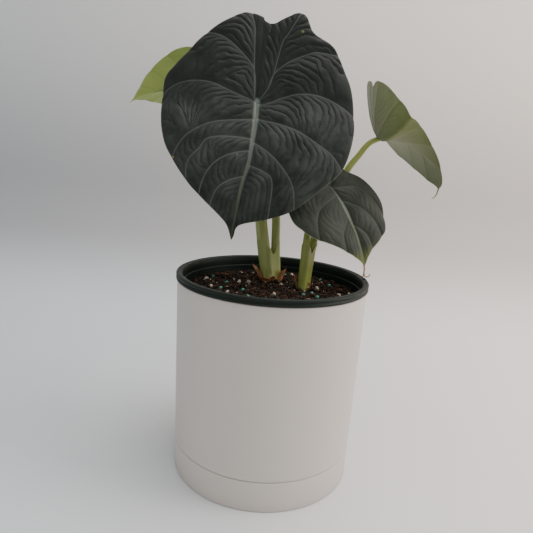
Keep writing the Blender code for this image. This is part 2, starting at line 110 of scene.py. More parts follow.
# %% A finish: one material with one way to add nodes
class Finish:
    """A Principled material. still: sockets whose value is the same all over."""

    def __init__(self, name, **still):
        self.material = bpy.data.materials.new(name)
        self.material.use_nodes = True
        self.tree = self.material.node_tree
        self.shader = self.tree.nodes["Principled BSDF"]
        for socket, value in still.items():
            self.shader.inputs[socket.replace("_", " ")].default_value = value

    def feed(self, socket, value):
        if isinstance(value, Wire):
            self.tree.links.new(value.socket, socket)
        else:
            socket.default_value = value

    def node(self, kind, settings=None, inputs=None, output=0):
        """Add a node: set it up, fill its sockets, and give back one of its outputs."""
        made = self.tree.nodes.new("ShaderNode" + kind)
        for name, value in (settings or {}).items():
            setattr(made, name, value)
        for name, value in (inputs or {}).items():
            self.feed(made.inputs[name], value)
        return Wire(self, made.outputs[output])

    def place(self):
        return self.node("TexCoord", output="Object")

    def mark(self, name, output="Fac"):
        """A number or vector that the mesh carries at its points."""
        return self.node("Attribute", {"attribute_name": name}, output=output)

    def stretched(self, where, scale):
        return self.node("Mapping", inputs={"Vector": where, "Scale": scale})

    def noise(self, where, scale, detail=3.0, roughness=0.5, distortion=0.0):
        return self.node("TexNoise", inputs={"Vector": where, "Scale": scale, "Detail": detail,
                                             "Roughness": roughness, "Distortion": distortion})

    def cells(self, where, scale):
        return self.node("TexVoronoi", inputs={"Vector": where, "Scale": scale},
                         output="Distance")

    def part(self, where, axis):
        """One of a place's three numbers."""
        return self.node("SeparateXYZ", inputs={0: where}, output=axis)

    def mix(self, share, first, second):
        """A colour between two colours."""
        first, second = (c if isinstance(c, Wire) else (*c, 1.0) for c in (first, second))
        return self.node("Mix", {"data_type": "RGBA"}, {0: share, 6: first, 7: second}, output=2)

    def wear(self, colour, roughness, height=None, depth=0.001, strength=1.0):
        """Link what varies to the shader: colour, roughness and a height for the bump."""
        self.feed(self.shader.inputs["Base Color"], colour)
        self.feed(self.shader.inputs["Roughness"], roughness)
        if height is not None:
            bump = self.node("Bump", inputs={"Strength": strength, "Distance": depth,
                                             "Height": height})
            self.feed(self.shader.inputs["Normal"], bump)
        return self.material


# %% [markdown]
# ## Working by hand in code
# An operator acts on all that is selected, and the solid pieces arrive selected. So each step
# begins with nothing selected, and a piece is finished by putting its place into its mesh.

# %% Helpers for every piece
def nothing_selected():
    if bpy.context.object and bpy.context.object.mode != "OBJECT":
        bpy.ops.object.mode_set(mode="OBJECT")
    bpy.ops.object.select_all(action="DESELECT")


def only(piece):
    """Select one piece and make it the active one."""
    nothing_selected()
    piece.select_set(True)
    bpy.context.view_layer.objects.active = piece


def settle(piece, name, finish, replaces=()):
    """Put a piece's place into its mesh, and tell the frame what it is."""
    only(piece)
    bpy.ops.object.transform_apply(location=True, rotation=True, scale=True)
    piece.name = name
    piece.data.name = name
    if finish:
        piece.data.materials.clear()
        piece.data.materials.append(finish)
    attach(piece, "root")
    if replaces:
        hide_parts(*replaces)
    print(f"{name}: {len(piece.data.vertices)} points, {len(piece.data.polygons)} faces")


def modified(piece, kind, **settings):
    """Give the active piece a modifier, set it up, and apply it."""
    modifier = piece.modifiers.new(kind.lower(), kind)
    for setting, value in settings.items():
        setattr(modifier, setting, value)
    bpy.ops.object.modifier_apply(modifier=modifier.name)


def merged(threshold):
    """Join the active piece's doubled points and point its faces outward."""
    bpy.ops.object.mode_set(mode="EDIT")
    bpy.ops.mesh.select_all(action="SELECT")
    bpy.ops.mesh.remove_doubles(threshold=threshold)
    bpy.ops.mesh.normals_make_consistent(inside=False)
    bpy.ops.object.mode_set(mode="OBJECT")


def points_of(mesh):
    flat = np.empty(len(mesh.vertices) * 3)
    mesh.vertices.foreach_get("co", flat)
    return flat.reshape(-1, 3)


def move_points(mesh, points):
    mesh.vertices.foreach_set("co", np.asarray(points, float).ravel())
    mesh.update()


def mark_points(mesh, name, values, kind="FLOAT"):
    """Store a number or a vector at each point, for a finish to read."""
    layer = mesh.attributes.new(name, kind, "POINT")
    layer.data.foreach_set("value" if kind == "FLOAT" else "vector",
                           np.asarray(values, np.float32).ravel())


def rough(point, scale, seed=0.0):
    """A smooth random number near 0 at a place."""
    return noise.noise(Vector(point) * scale + Vector((seed, seed * 1.7, -seed)))


def swung(points, angle):
    """Points turned about the upright axis."""
    return points @ np.array([[math.cos(angle), math.sin(angle), 0],
                              [-math.sin(angle), math.cos(angle), 0], [0, 0, 1]])


nothing_selected()

# %% [markdown]
# ## The white plastic
# The cover pot and saucer are moulded in a satin white plastic. Up close it isn't one colour:
# it has faint clouds and a very fine orange-peel skin, and painted shade darkens it in patches
# near the table. Noise at three sizes gives all of them, and the painted shade follows the
# height.

# %% White plastic finish
def white_plastic():
    paint = Finish("satin_white_plastic", Specular_IOR_Level=0.4)
    where = paint.place()
    clouds = paint.noise(where, 14.0, 4.0)
    specks = paint.noise(where, 420.0, 2.0)
    height = paint.part(where, "Z")
    # Painted shade: the plastic darkens in patches over the lowest 12 mm, by the table; the same
    # mask makes it a little rougher there.
    table_shade = (1 - height.between(0.0, 0.012)) * paint.noise(where, 90.0, 4.0)
    clean = paint.mix(clouds, (0.575, 0.53, 0.485), (0.615, 0.57, 0.525))
    flecked = paint.mix(specks.between(0.66, 0.74) * 0.12, clean, (0.55, 0.52, 0.48))
    colour = paint.mix(table_shade * 0.35, flecked, (0.42, 0.38, 0.34))
    skin = paint.noise(where, 900.0, 3.0) * 0.6 + paint.noise(where, 60.0, 2.0) * 0.8
    return paint.wear(colour, 0.42 + clouds * 0.12 + table_shade * 0.2, skin, 0.00012, 0.6)


WHITE_PLASTIC = white_plastic()

# %% [markdown]
# ## Turned pieces
# A potter or a lathe makes these from a profile. By hand in Blender it is a circle that is
# extruded and resized, ring after ring: up the outside, over the lip and down the inside. The
# first face becomes the underside and the last one the inner floor, so the wall is closed.

# %% Extrude and resize a circle along a profile
def turned(profile, steps):
    """Turn (radius, height) points, in mm, from the underside up the outside and back down."""
    nothing_selected()
    radius, z = profile[0]
    bpy.ops.mesh.primitive_circle_add(vertices=steps, radius=radius * MM, fill_type="NGON",
                                      location=(0.0, 0.0, z * MM))
    piece = bpy.context.object
    bpy.ops.object.mode_set(mode="EDIT")
    bpy.ops.mesh.select_all(action="SELECT")
    for next_radius, next_z in profile[1:]:
        bpy.ops.mesh.extrude_region_move(
            TRANSFORM_OT_translate={"value": (0.0, 0.0, (next_z - z) * MM)})
        share = next_radius / radius
        bpy.ops.transform.resize(value=(share, share, 1.0),
                                 center_override=(0.0, 0.0, next_z * MM))
        radius, z = next_radius, next_z
    bpy.ops.mesh.select_all(action="SELECT")
    bpy.ops.mesh.normals_make_consistent(inside=False)
    bpy.ops.object.mode_set(mode="OBJECT")
    bpy.ops.object.shade_smooth_by_angle(angle=math.radians(32))
    return piece


def rounded(corner_radius, corner_z, bend, turn_from, turn_to, count=4):
    """Profile points round a corner: centre, radius of the bend, and two angles in degrees."""
    points = []
    for k in range(count + 1):
        angle = math.radians(turn_from + (turn_to - turn_from) * k / count)
        points.append((corner_radius + bend * math.cos(angle), corner_z + bend * math.sin(angle)))
    return points


def drilled(piece, count, circle, radius, floor, thick):
    """Cut a ring of upright round holes, in mm, through a floor."""
    for k in range(count):
        angle = math.tau * (k + 0.5) / count
        x, y = circle * math.cos(angle), circle * math.sin(angle)
        nothing_selected()
        bpy.ops.mesh.primitive_cylinder_add(vertices=24, radius=radius * MM,
                                            depth=(thick + 4.0) * MM,
                                            location=Vector((x, y, floor + thick / 2)) * MM)
        bit = bpy.context.object
        only(piece)
        modified(piece, "BOOLEAN", operation="DIFFERENCE", solver="EXACT", object=bit)
        bpy.data.objects.remove(bit)


# %% [markdown]
# ## The saucer and the cover pot
# Together they look like one straight cylinder with a thin seam near the table. The seam is a
# real gap: both edges are rounded and meet over a narrow groove. The sizes are read from the
# solid pieces, so that the two models agree.

# %% Saucer and cover pot
_, saucer_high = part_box("saucer")
pot_low, pot_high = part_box("cover_pot")
SAUCER_RADIUS = saucer_high.x / MM
SAUCER_TOP = saucer_high.z / MM
POT_RADIUS = pot_high.x / MM
POT_TOP = pot_high.z / MM
WALL = 2.4
COVER_FLOOR = 2.6
COVER_DRAINS = 5
COVER_DRAIN_CIRCLE = 38.0
COVER_DRAIN_RADIUS = 4.5
BASE_RADIUS = SAUCER_RADIUS - 0.46
SIDE_SLOPE = (POT_RADIUS - BASE_RADIUS) / POT_TOP
TURN_STEPS = 160
MIDDLE = 20.0              # radius of the flat face that closes a profile's end


def side(z):
    """The cylinder's outer radius at a height, in mm."""
    return BASE_RADIUS + SIDE_SLOPE * z


def saucer():
    inner = SAUCER_RADIUS - WALL
    profile = [(MIDDLE, 0.6), (60.0, 0.6), (66.0, 0.6), (67.0, 0.0)]
    profile += rounded(BASE_RADIUS - 1.2, 1.2, 1.2, -90, 0)
    profile += [(side(8.0), 8.0), (side(17.0), 17.0)]
    profile += rounded(side(SAUCER_TOP) - 0.9, SAUCER_TOP - 0.9, 0.9, 0, 90)
    profile += [(inner + 0.4, SAUCER_TOP), (inner, SAUCER_TOP - 0.5), (inner, 5.0)]
    profile += [(inner - 0.8, 3.2), (inner - 2.4, 2.4), (40.0, 2.4), (MIDDLE, 2.4)]
    settle(turned(profile, TURN_STEPS), "saucer_shell", WHITE_PLASTIC,
           ["saucer"])


def cover_pot():
    shoulder = SAUCER_TOP + 0.3
    spigot = SAUCER_RADIUS - WALL - 0.6
    floor = pot_low.z / MM
    profile = [(MIDDLE, floor)]
    profile += rounded(spigot - 1.5, floor + 1.5, 1.5, -90, 0)
    profile += [(spigot, shoulder), (side(shoulder) - 1.1, shoulder)]
    profile += rounded(side(shoulder) - 0.9, shoulder + 0.9, 0.9, -90, 0)
    profile += [(side(z), z) for z in (30, 45, 65, 85, 105, 125, 145, 160)]
    profile += rounded(POT_RADIUS - 0.8, POT_TOP - 0.8, 0.8, 0, 90)
    profile += [(POT_RADIUS - WALL + 0.6, POT_TOP), (POT_RADIUS - WALL, POT_TOP - 0.6)]
    profile += [(side(shoulder) - WALL, shoulder + 4.0), (spigot - WALL, shoulder)]
    profile += [(spigot - WALL, floor + COVER_FLOOR), (MIDDLE, floor + COVER_FLOOR)]
    pot = turned(profile, TURN_STEPS)
    drilled(pot, COVER_DRAINS, COVER_DRAIN_CIRCLE, COVER_DRAIN_RADIUS,
            floor, COVER_FLOOR)
    settle(pot, "cover_pot_shell", WHITE_PLASTIC, ["cover_pot"])


saucer()
cover_pot()

# %% [markdown]
# ## The nursery pot
# A grower's pot is blown from thin dark green plastic. Its lip is rolled over into two fine
# ribs, and it is dull from soil and lime.

# %% Dark plastic finish
def dark_plastic():
    paint = Finish("dark_green_plastic", Specular_IOR_Level=0.2)
    where = paint.place()
    clouds = paint.noise(where, 30.0, 4.0)
    dust = paint.noise(where, 160.0, 4.0, 0.6)
    height = paint.part(where, "Z")
    # Painted light: from 168 mm up, the rim band gets a lighter colour of the same plastic than the
    # wall below, as if it caught the light from above.
    rim_light_band = height.between(0.168, 0.1715)
    wall = paint.mix(clouds, (0.002, 0.006, 0.004), (0.004, 0.011, 0.0075))
    rim = paint.mix(clouds, (0.004, 0.009, 0.006), (0.009, 0.016, 0.011))
    base = paint.mix(rim_light_band, wall, rim)
    colour = paint.mix(dust.between(0.52, 0.75) * 0.18, base, (0.035, 0.042, 0.034))
    skin = paint.noise(where, 700.0, 2.0) * 0.5 + dust * 0.8
    return paint.wear(colour, 0.34 + dust * 0.3, skin, 0.00025, 0.7)


DARK_PLASTIC = dark_plastic()

# %% Nursery pot with its rolled rim
nursery_low, nursery_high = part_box("nursery_pot")
RIM = nursery_high.x / MM
RIM_TOP = nursery_high.z / MM
RIM_HEIGHT = 6.0
LIP_BOTTOM = RIM_TOP - RIM_HEIGHT
NURSERY_WALL = 1.2
NURSERY_PLAY = 0.8         # its neck to the cover pot's inside
NURSERY_TAPER = 18.2
NURSERY_DRAINS = 6
NURSERY_DRAIN_RADIUS = 5.0
NURSERY_DRAIN_INSET = 14.0
NECK = POT_RADIUS - WALL - NURSERY_PLAY
NURSERY_BASE = NECK - NURSERY_TAPER


def nursery_pot():
    floor = nursery_low.z / MM
    profile = [(MIDDLE, floor)]
    profile += rounded(NURSERY_BASE - 1.5, floor + 1.5, 1.5, -90, -10)
    profile += [(NECK - 0.1, LIP_BOTTOM - 2.0), (NECK, LIP_BOTTOM), (RIM - 2.0, LIP_BOTTOM)]
    profile += rounded(RIM - 1.1, LIP_BOTTOM + 1.1, 1.1, -110, 60)
    profile += [(RIM - 0.75, LIP_BOTTOM + 2.9)]
    profile += rounded(RIM - 1.3, LIP_BOTTOM + 4.5, 1.3, -50, 78, 6)
    profile += [(RIM - 1.9, RIM_TOP - 0.05), (RIM - 3.0, RIM_TOP - 0.5)]
    profile += [(NECK - 0.4, RIM_TOP - 0.7), (NECK - 0.9, RIM_TOP - 1.4)]
    profile += [(NECK - 1.2, LIP_BOTTOM + 1.0), (NECK - 1.3, LIP_BOTTOM - 3.0)]
    profile += [(NECK - 1.9, LIP_BOTTOM - 3.6), (NECK - 2.2, LIP_BOTTOM - 9.0)]
    profile += [(NURSERY_BASE - NURSERY_WALL, floor + NURSERY_WALL),
                (MIDDLE, floor + NURSERY_WALL)]
    pot = turned(profile, TURN_STEPS)
    drilled(pot, NURSERY_DRAINS, NURSERY_BASE - NURSERY_DRAIN_INSET, NURSERY_DRAIN_RADIUS,
            floor, NURSERY_WALL)
    settle(pot, "nursery_pot_shell", DARK_PLASTIC, ["nursery_pot"])


def rim_nub(degrees):
    """The small lug where the mould's halves met on the rim."""
    nothing_selected()
    angle = math.radians(degrees)
    place = Vector(((RIM - 2.2) * math.cos(angle), (RIM - 2.2) * math.sin(angle), RIM_TOP - 0.9))
    bpy.ops.mesh.primitive_cube_add(size=1.0, location=place * MM, rotation=(0.0, 0.0, angle),
                                    scale=(3.4 * MM, 4.6 * MM, 2.2 * MM))
    nub = bpy.context.object
    bpy.ops.object.transform_apply(location=False, rotation=True, scale=True)
    modified(nub, "BEVEL", width=0.9 * MM, segments=3)
    bpy.ops.object.shade_smooth_by_angle(angle=math.radians(40))
    settle(nub, f"rim_nub_{degrees}", DARK_PLASTIC)


nursery_pot()
rim_nub(4)

# %% [markdown]
# ## The soil
# Potting mix is a heap of small things: dark peat crumbs, reddish bark fibres, white perlite
# and green fertiliser beads. A lumpy ground gives the bed; crumbs and fibres are modelled once
# each and copied with their own size, turn and place, so that the light catches real edges.

# %% Soil finishes
def earthy(name, dark, light, scale=220.0, fleck=(0.10, 0.05, 0.028)):
    paint = Finish(name, Specular_IOR_Level=0.25)
    where = paint.place()
    clouds = paint.noise(where, scale, 5.0, 0.65)
    flecks = paint.noise(where, scale * 3.0, 3.0)
    colour = paint.mix(flecks.between(0.60, 0.70) * 0.6,
                       paint.mix(clouds.between(0.3, 0.7), dark, light), fleck)
    return paint.wear(colour, 0.78 + clouds * 0.2, clouds + flecks * 0.5, 0.0008, 0.9)


SOIL = earthy("potting_mix", (0.007, 0.0048, 0.0036), (0.024, 0.015, 0.010))
CRUMB = earthy("peat_crumb", (0.008, 0.005, 0.0035), (0.034, 0.020, 0.012), 400.0)
FIBRE = earthy("bark_fibre", (0.030, 0.013, 0.006), (0.105, 0.048, 0.022), 500.0,
               (0.16, 0.085, 0.045))

# %% The bed of soil
soil_low, soil_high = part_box("potting_soil")
SOIL_BELOW_RIM = 13.0
SOIL_MOUND = 2.0
SOIL_TOP = RIM_TOP - SOIL_BELOW_RIM
SOIL_RADIUS = soil_high.x / MM


def soil_level(x, y):
    """The bed's height in mm: a low mound with lumps."""
    mound = SOIL_TOP - SOIL_MOUND * (x * x + y * y) / SOIL_RADIUS ** 2
    lumps = 1.5 * rough((x, y, 0.0), 0.13, 3.0) + 0.9 * rough((x, y, 0.0), 0.33, 8.0)
    return mound + 0.3 + lumps


def soil_bed():
    bottom = soil_low.z / MM
    profile = [(MIDDLE, bottom), (NURSERY_BASE - 2.0, bottom), (SOIL_RADIUS - 0.4, SOIL_TOP - 5.0)]
    profile += [(SOIL_RADIUS - 0.1 - 1.1 * k, SOIL_TOP - 2.0) for k in range(68)]
    bed = turned(profile, 144)
    points = points_of(bed.data) / MM
    for k, (x, y, z) in enumerate(points):
        if z > SOIL_TOP - 3.0:
            points[k, 2] = soil_level(x, y)
    move_points(bed.data, points * MM)
    settle(bed, "soil_bed", SOIL, ["potting_soil"])


soil_bed()

# %% Crumbs and fibres, each shaped once and copied
def ball():
    """A little round starting shape: its points and faces."""
    nothing_selected()
    bpy.ops.mesh.primitive_ico_sphere_add(subdivisions=1, radius=1.0)
    made = bpy.context.object
    points = points_of(made.data)
    faces = [tuple(face.vertices) for face in made.data.polygons]
    bpy.data.objects.remove(made)
    return points, faces


def turn_matrix(dice):
    """A random turn in space."""
    q = np.array([dice.gauss(0, 1) for _ in range(4)])
    w, x, y, z = q / np.linalg.norm(q)
    return np.array([[1 - 2 * (y * y + z * z), 2 * (x * y - z * w), 2 * (x * z + y * w)],
                     [2 * (x * y + z * w), 1 - 2 * (x * x + z * z), 2 * (y * z - x * w)],
                     [2 * (x * z - y * w), 2 * (y * z + x * w), 1 - 2 * (x * x + y * y)]])


def joined(parts):
    """One mesh object from many (points in mm, faces) parts."""
    points, faces, start = [], [], 0
    for part_points, part_faces in parts:
        points.append(part_points)
        faces += [tuple(i + start for i in face) for face in part_faces]
        start += len(part_points)
    mesh = bpy.data.meshes.new("joined")
    mesh.from_pydata((np.concatenate(points) * MM).tolist(), [], faces)
    piece = bpy.data.objects.new("joined", mesh)
    bpy.context.scene.collection.objects.link(piece)
    return piece


def anywhere(dice, reach):
    """A random place on the soil."""
    while True:
        x, y = dice.uniform(-reach, reach), dice.uniform(-reach, reach)
        if math.hypot(x, y) < reach:
            return x, y


def crumbs(count, smallest, largest, seed):
    dice = random.Random(seed)
    points, faces = ball()
    parts = []
    for _ in range(count):
        size = smallest + (largest - smallest) * dice.random() ** 3
        x, y = anywhere(dice, SOIL_RADIUS - 1.0 - size)
        pushed = points * [[1 + 0.35 * dice.uniform(-1, 1)] for _ in points]
        stretch = np.array([1.0, dice.uniform(0.6, 1.0), dice.uniform(0.5, 0.9)])
        lump = (pushed * stretch * size) @ turn_matrix(dice).T
        parts.append((lump + [x, y, soil_level(x, y) + size * 0.25], faces))
    settle(joined(parts), "soil_crumbs", CRUMB)


def fibre(dice, length, width):
    """A bent sliver of bark: a square tube of a few rings that closes at both ends."""
    rings, points, faces = 6, [], []
    bend = dice.uniform(-0.35, 0.35)
    rise = dice.uniform(0.0, 0.16)
    for k in range(rings):
        t = k / (rings - 1)
        thick = width * (0.25 + 0.75 * math.sin(math.pi * (0.12 + 0.76 * t)))
        centre = np.array([length * (t - 0.5), length * bend * (t - 0.5) ** 2,
                           length * rise * (t - 0.2)])
        for a in range(4):
            angle = math.pi / 4 + math.pi / 2 * a
            wobble = 1 + 0.25 * dice.uniform(-1, 1)
            points.append(centre + np.array([0, math.cos(angle), 0.55 * math.sin(angle)])
                          * thick * wobble)
    for k in range(rings - 1):
        for a in range(4):
            b = (a + 1) % 4
            faces.append((4 * k + a, 4 * k + b, 4 * k + 4 + b, 4 * k + 4 + a))
    faces.append((3, 2, 1, 0))
    faces.append(tuple(4 * (rings - 1) + a for a in range(4)))
    return np.array(points), faces


def fibres(count, seed):
    dice = random.Random(seed)
    parts = []
    for _ in range(count):
        length = dice.uniform(2.5, 10.0)
        x, y = anywhere(dice, SOIL_RADIUS - 2.0 - length / 2)
        points, faces = fibre(dice, length, dice.uniform(0.25, 0.8))
        spun = swung(points, dice.uniform(0, math.tau))
        parts.append((spun + [x, y, soil_level(x, y) + 0.7], faces))
    settle(joined(parts), "soil_fibres", FIBRE)


crumbs(2600, 0.5, 2.6, 11)
fibres(420, 12)

# %% [markdown]
# ## Beads, perlite and bark chips
# The larger grains are solid pieces of their own. A fertiliser bead is a glossy coated ball,
# perlite is popped volcanic glass with a knobbly skin, and a bark chip is a broken flake with
# its grain along its length. Each starts from a primitive in the middle of its solid's box.

# %% Grain finishes
def bead_coat():
    paint = Finish("fertiliser_coat", Coat_Weight=0.5, Coat_Roughness=0.2)
    where = paint.place()
    clouds = paint.noise(where, 500.0, 3.0)
    colour = paint.mix(clouds, (0.0, 0.10, 0.062), (0.008, 0.22, 0.14))
    return paint.wear(colour, 0.3 + clouds * 0.25, clouds, 0.0002, 0.6)


def perlite_skin():
    paint = Finish("perlite_skin", Specular_IOR_Level=0.3)
    where = paint.place()
    pits = paint.cells(where, 1400.0)
    clouds = paint.noise(where, 300.0, 3.0)
    colour = paint.mix(clouds.between(0.35, 0.7), (0.62, 0.57, 0.49), (0.36, 0.29, 0.23))
    return paint.wear(colour, 0.8 + clouds * 0.15, pits, 0.0004, 0.8)


def bark_grain():
    paint = Finish("bark_grain", Specular_IOR_Level=0.25)
    where = paint.place()
    grain = paint.noise(paint.stretched(where, (1.0, 0.25, 1.0)), 900.0, 4.0, 0.6, 0.5)
    colour = paint.mix(grain.between(0.35, 0.65), (0.022, 0.010, 0.005), (0.11, 0.052, 0.026))
    return paint.wear(colour, 0.75 + grain * 0.2, grain, 0.0006, 0.9)


BEAD, PERLITE, BARK = bead_coat(), perlite_skin(), bark_grain()

# %% Grains in their solids' places
BARK_SIZE = (9.0, 4.2, 1.9)


def grain_centre(node, sunk):
    """The middle of a solid grain, sunk a share of its height into the lumpy bed."""
    low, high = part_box(node)
    middle = (low + high) / 2 / MM
    height = (high.z - low.z) / MM
    level = soil_level(middle.x, middle.y)
    return Vector((middle.x, middle.y, level + height * (0.5 - sunk))), (high - low) / MM


def knobbly(piece, seed, coarse, fine, depth):
    """Push each point in or out by smooth noise, in place."""
    points = points_of(piece.data)
    for k, p in enumerate(points):
        swell = 1 + depth * rough(p, coarse, seed) + 0.4 * depth * rough(p, fine, seed + 5)
        points[k] = p * swell
    move_points(piece.data, points)
    bpy.ops.object.shade_smooth()


def fertiliser_bead(number):
    node = f"fertiliser_bead_{number}"
    centre, size = grain_centre(node, 0.25)
    nothing_selected()
    bpy.ops.mesh.primitive_ico_sphere_add(subdivisions=3, radius=size.x / 2 * MM)
    bead = bpy.context.object
    knobbly(bead, number, 500.0, 1500.0, 0.10)
    bead.location = centre * MM
    settle(bead, f"bead_{number}", BEAD, [node])


def perlite_grain(number):
    node = f"perlite_{number}"
    centre, size = grain_centre(node, 0.28)
    nothing_selected()
    bpy.ops.mesh.primitive_ico_sphere_add(subdivisions=4, radius=0.5,
                                          scale=tuple(size * MM))
    grain = bpy.context.object
    bpy.ops.object.transform_apply(location=False, rotation=False, scale=True)
    knobbly(grain, number * 3.1, 700.0, 1800.0, 0.45)
    grain.location = centre * MM
    settle(grain, f"perlite_grain_{number}", PERLITE, [node])


def bark_flake(number):
    node = f"bark_chip_{number}"
    centre, _ = grain_centre(node, 0.2)
    nothing_selected()
    bpy.ops.mesh.primitive_cube_add(size=1.0, scale=tuple(Vector(BARK_SIZE) * MM))
    flake = bpy.context.object
    bpy.ops.object.transform_apply(location=False, rotation=False, scale=True)
    bpy.ops.object.mode_set(mode="EDIT")
    bpy.ops.mesh.select_all(action="SELECT")
    bpy.ops.mesh.subdivide(number_cuts=7)
    bpy.ops.object.mode_set(mode="OBJECT")
    points = points_of(flake.data)
    for k, p in enumerate(points):
        taper = 1 - 0.45 * (2 * p[0] / (BARK_SIZE[0] * MM)) ** 2
        wavy = 1 + 0.5 * rough(p, 260.0, number)
        ridge = 0.5 * MM * rough((p[0] * 0.2, p[1], p[2]), 1300.0, number + 7)
        points[k] = (p[0] * wavy, p[1] * taper * wavy, p[2] * taper + ridge)
    move_points(flake.data, swung(points, 0.9 * number))
    bpy.ops.object.shade_smooth_by_angle(angle=math.radians(40))
    flake.location = centre * MM
    settle(flake, f"bark_flake_{number}", BARK, [node])


for number in range(1, 13):
    fertiliser_bead(number)
    perlite_grain(number)
for number in range(1, 7):
    bark_flake(number)

# %% Fine perlite crumbs between them
def perlite_dust(count, seed):
    dice = random.Random(seed)
    points, faces = ball()
    parts = []
    for _ in range(count):
        size = 0.25 + 0.9 * dice.random() ** 2.5
        x, y = anywhere(dice, SOIL_RADIUS - 3.0)
        pushed = points * [[1 + 0.3 * dice.uniform(-1, 1)] for _ in points] * size
        parts.append((pushed + [x, y, soil_level(x, y) + 0.9], faces))
    settle(joined(parts), "perlite_crumbs", PERLITE)


perlite_dust(90, 21)

# %% [markdown]
# ## Petioles
# A petiole is a fleshy leaf stalk. Its skin has fine lengthwise streaks, so its pattern has to
# follow the stalk. Each is a Bezier path with a round bevel, made into a mesh, and every point
# then stores where it lies round and along the stalk; noise that is stretched along that
# direction makes the streaks. The routes repeat those of the solid model.

# %% Petiole finish
def petiole_skin(name, pale, deep, foot):
    paint = Finish(name, Specular_IOR_Level=0.45, Subsurface_Weight=0.15,
                   Subsurface_Radius=(0.9, 1.0, 0.35), Subsurface_Scale=0.002)
    stem = paint.mark("stem", "Vector")
    along = paint.mark("along")
    streaks = paint.noise(paint.stretched(stem, (1.0, 1.0, 0.035)), 800.0, 4.0, 0.6)
    bands = paint.noise(paint.stretched(stem, (1.0, 1.0, 0.12)), 260.0, 3.0)
    speck = paint.noise(paint.stretched(stem, (1.0, 1.0, 0.6)), 520.0, 2.0)
    body = paint.mix(streaks.between(0.35, 0.75) * 0.7, pale, deep)
    toned = paint.mix(bands.between(0.45, 0.75) * 0.5, body, deep)
    footed = paint.mix((1 - along.between(0.04, 0.26)) * 0.65, toned, foot)
    low = 1 - along.between(0.05, 0.30)
    spotted = paint.mix(speck.between(0.63, 0.67) * low, footed, (0.030, 0.020, 0.008))
    return paint.wear(spotted, 0.38 + streaks * 0.16, streaks + bands * 0.6, 0.00022, 0.7)


PALE_STALK = petiole_skin("pale_petiole", (0.34, 0.385, 0.12), (0.165, 0.21, 0.048),
                          (0.37, 0.37, 0.15))
YELLOW_STALK = petiole_skin("yellow_petiole", (0.27, 0.31, 0.065), (0.13, 0.165, 0.028),
                            (0.34, 0.285, 0.085))

# %% Petiole routes, in mm, with heights above the soil
FEET_BOTTOM = -7.7
TAPER = 1.8
PETIOLES = {
    "front": {"foot": 5.9, "top": 2.9, "finish": PALE_STALK,
              "route": [(-4.0, 24.5), (-5.5, 25.0, 10.0), (-8.0, 26.0, 21.0),
                        (-11.0, 27.5, 37.0), (-14.0, 29.0, 55.0), (-18.0, 30.0, 87.0),
                        (-22.0, 29.5, 122.0), (-24.0, 23.0, 143.0), (-23.5, 15.2, 151.4)]},
    "back": {"foot": 4.0, "top": 2.5, "finish": PALE_STALK,
             "route": [(3.3, 31.6), (2.4, 32.0, 12.0), (0.6, 32.5, 32.0), (-0.6, 33.5, 57.0),
                       (-7.0, 40.0, 99.0), (-26.0, 52.0, 135.0), (-53.0, 64.0, 153.0),
                       (-71.0, 70.6, 160.6)]},
    "small": {"foot": 3.3, "top": 1.9, "finish": YELLOW_STALK,
              "route": [(26.0, 4.2), (26.6, 5.0, 12.0), (27.0, 6.0, 27.0), (27.5, 8.5, 48.0),
                        (31.5, 15.5, 66.0), (39.0, 21.5, 80.0), (43.6, 20.0, 86.6)]},
    "side": {"foot": 3.8, "top": 2.3, "finish": YELLOW_STALK,
             "route": [(29.4, 11.6), (31.0, 13.0, 23.0), (34.6, 19.0, 43.0), (47.0, 29.0, 74.0),
                       (60.5, 38.0, 105.0), (69.5, 41.0, 118.0), (78.5, 44.5, 129.5),
                       (86.8, 47.1, 134.0)]},
}


def between_knots(p0, p1, p2, p3, t):
    """A place on a Catmull-Rom curve, on the way from p1 to p2."""
    return 0.5 * (2 * p1 + (p2 - p0) * t + (2 * p0 - 5 * p1 + 4 * p2 - p3) * t ** 2
                  + (3 * p1 - p0 - 3 * p2 + p3) * t ** 3)


def way_along(line):
    """How far along a line each of its points is."""
    return np.concatenate([[0.0], np.linalg.norm(np.diff(line, axis=0), axis=1).cumsum()])


def spline_through(knots, per_span):
    """An open Catmull-Rom curve through points."""
    knots = [np.array(knot, float) for knot in knots]
    ends = [2 * knots[0] - knots[1]] + knots + [2 * knots[-1] - knots[-2]]
    curve = []
    for i in range(len(knots) - 1):
        curve += [between_knots(*ends[i:i + 4], step / per_span) for step in range(per_span)]
    curve.append(knots[-1])
    return np.array(curve)


def knots_of(petiole):
    foot, *rest = petiole["route"]
    knots = [(*foot, SOIL_TOP + FEET_BOTTOM), (*foot, SOIL_TOP)]
    return knots + [(x, y, SOIL_TOP + z) for x, y, z in rest]


def stalk_radius(petiole, share):
    return petiole["foot"] - (petiole["foot"] - petiole["top"]) * share ** TAPER


def mark_stem(mesh, line):
    """Store each point's place round and along a centre line, for the streaks."""
    points = points_of(mesh) / MM
    away = points[:, None, :] - line[None, :, :]
    nearest = (away ** 2).sum(-1).argmin(1)
    walked = way_along(line)
    headings = np.gradient(line, axis=0)
    headings /= np.linalg.norm(headings, axis=1)[:, None]
    side_way = np.cross(headings, [0.0, 1.0, 0.0])
    side_way /= np.linalg.norm(side_way, axis=1)[:, None]
    out = away[np.arange(len(points)), nearest]
    across = (out * side_way[nearest]).sum(1)
    deep = (out * np.cross(side_way, headings)[nearest]).sum(1)
    spread = np.maximum(np.hypot(across, deep), 0.01)
    stem = np.stack([across / spread * 4, deep / spread * 4, walked[nearest]], 1) * MM
    mark_points(mesh, "stem", stem, "FLOAT_VECTOR")
    mark_points(mesh, "along", walked[nearest] / walked[-1])
    return np.arctan2(deep, across), walked[nearest], out


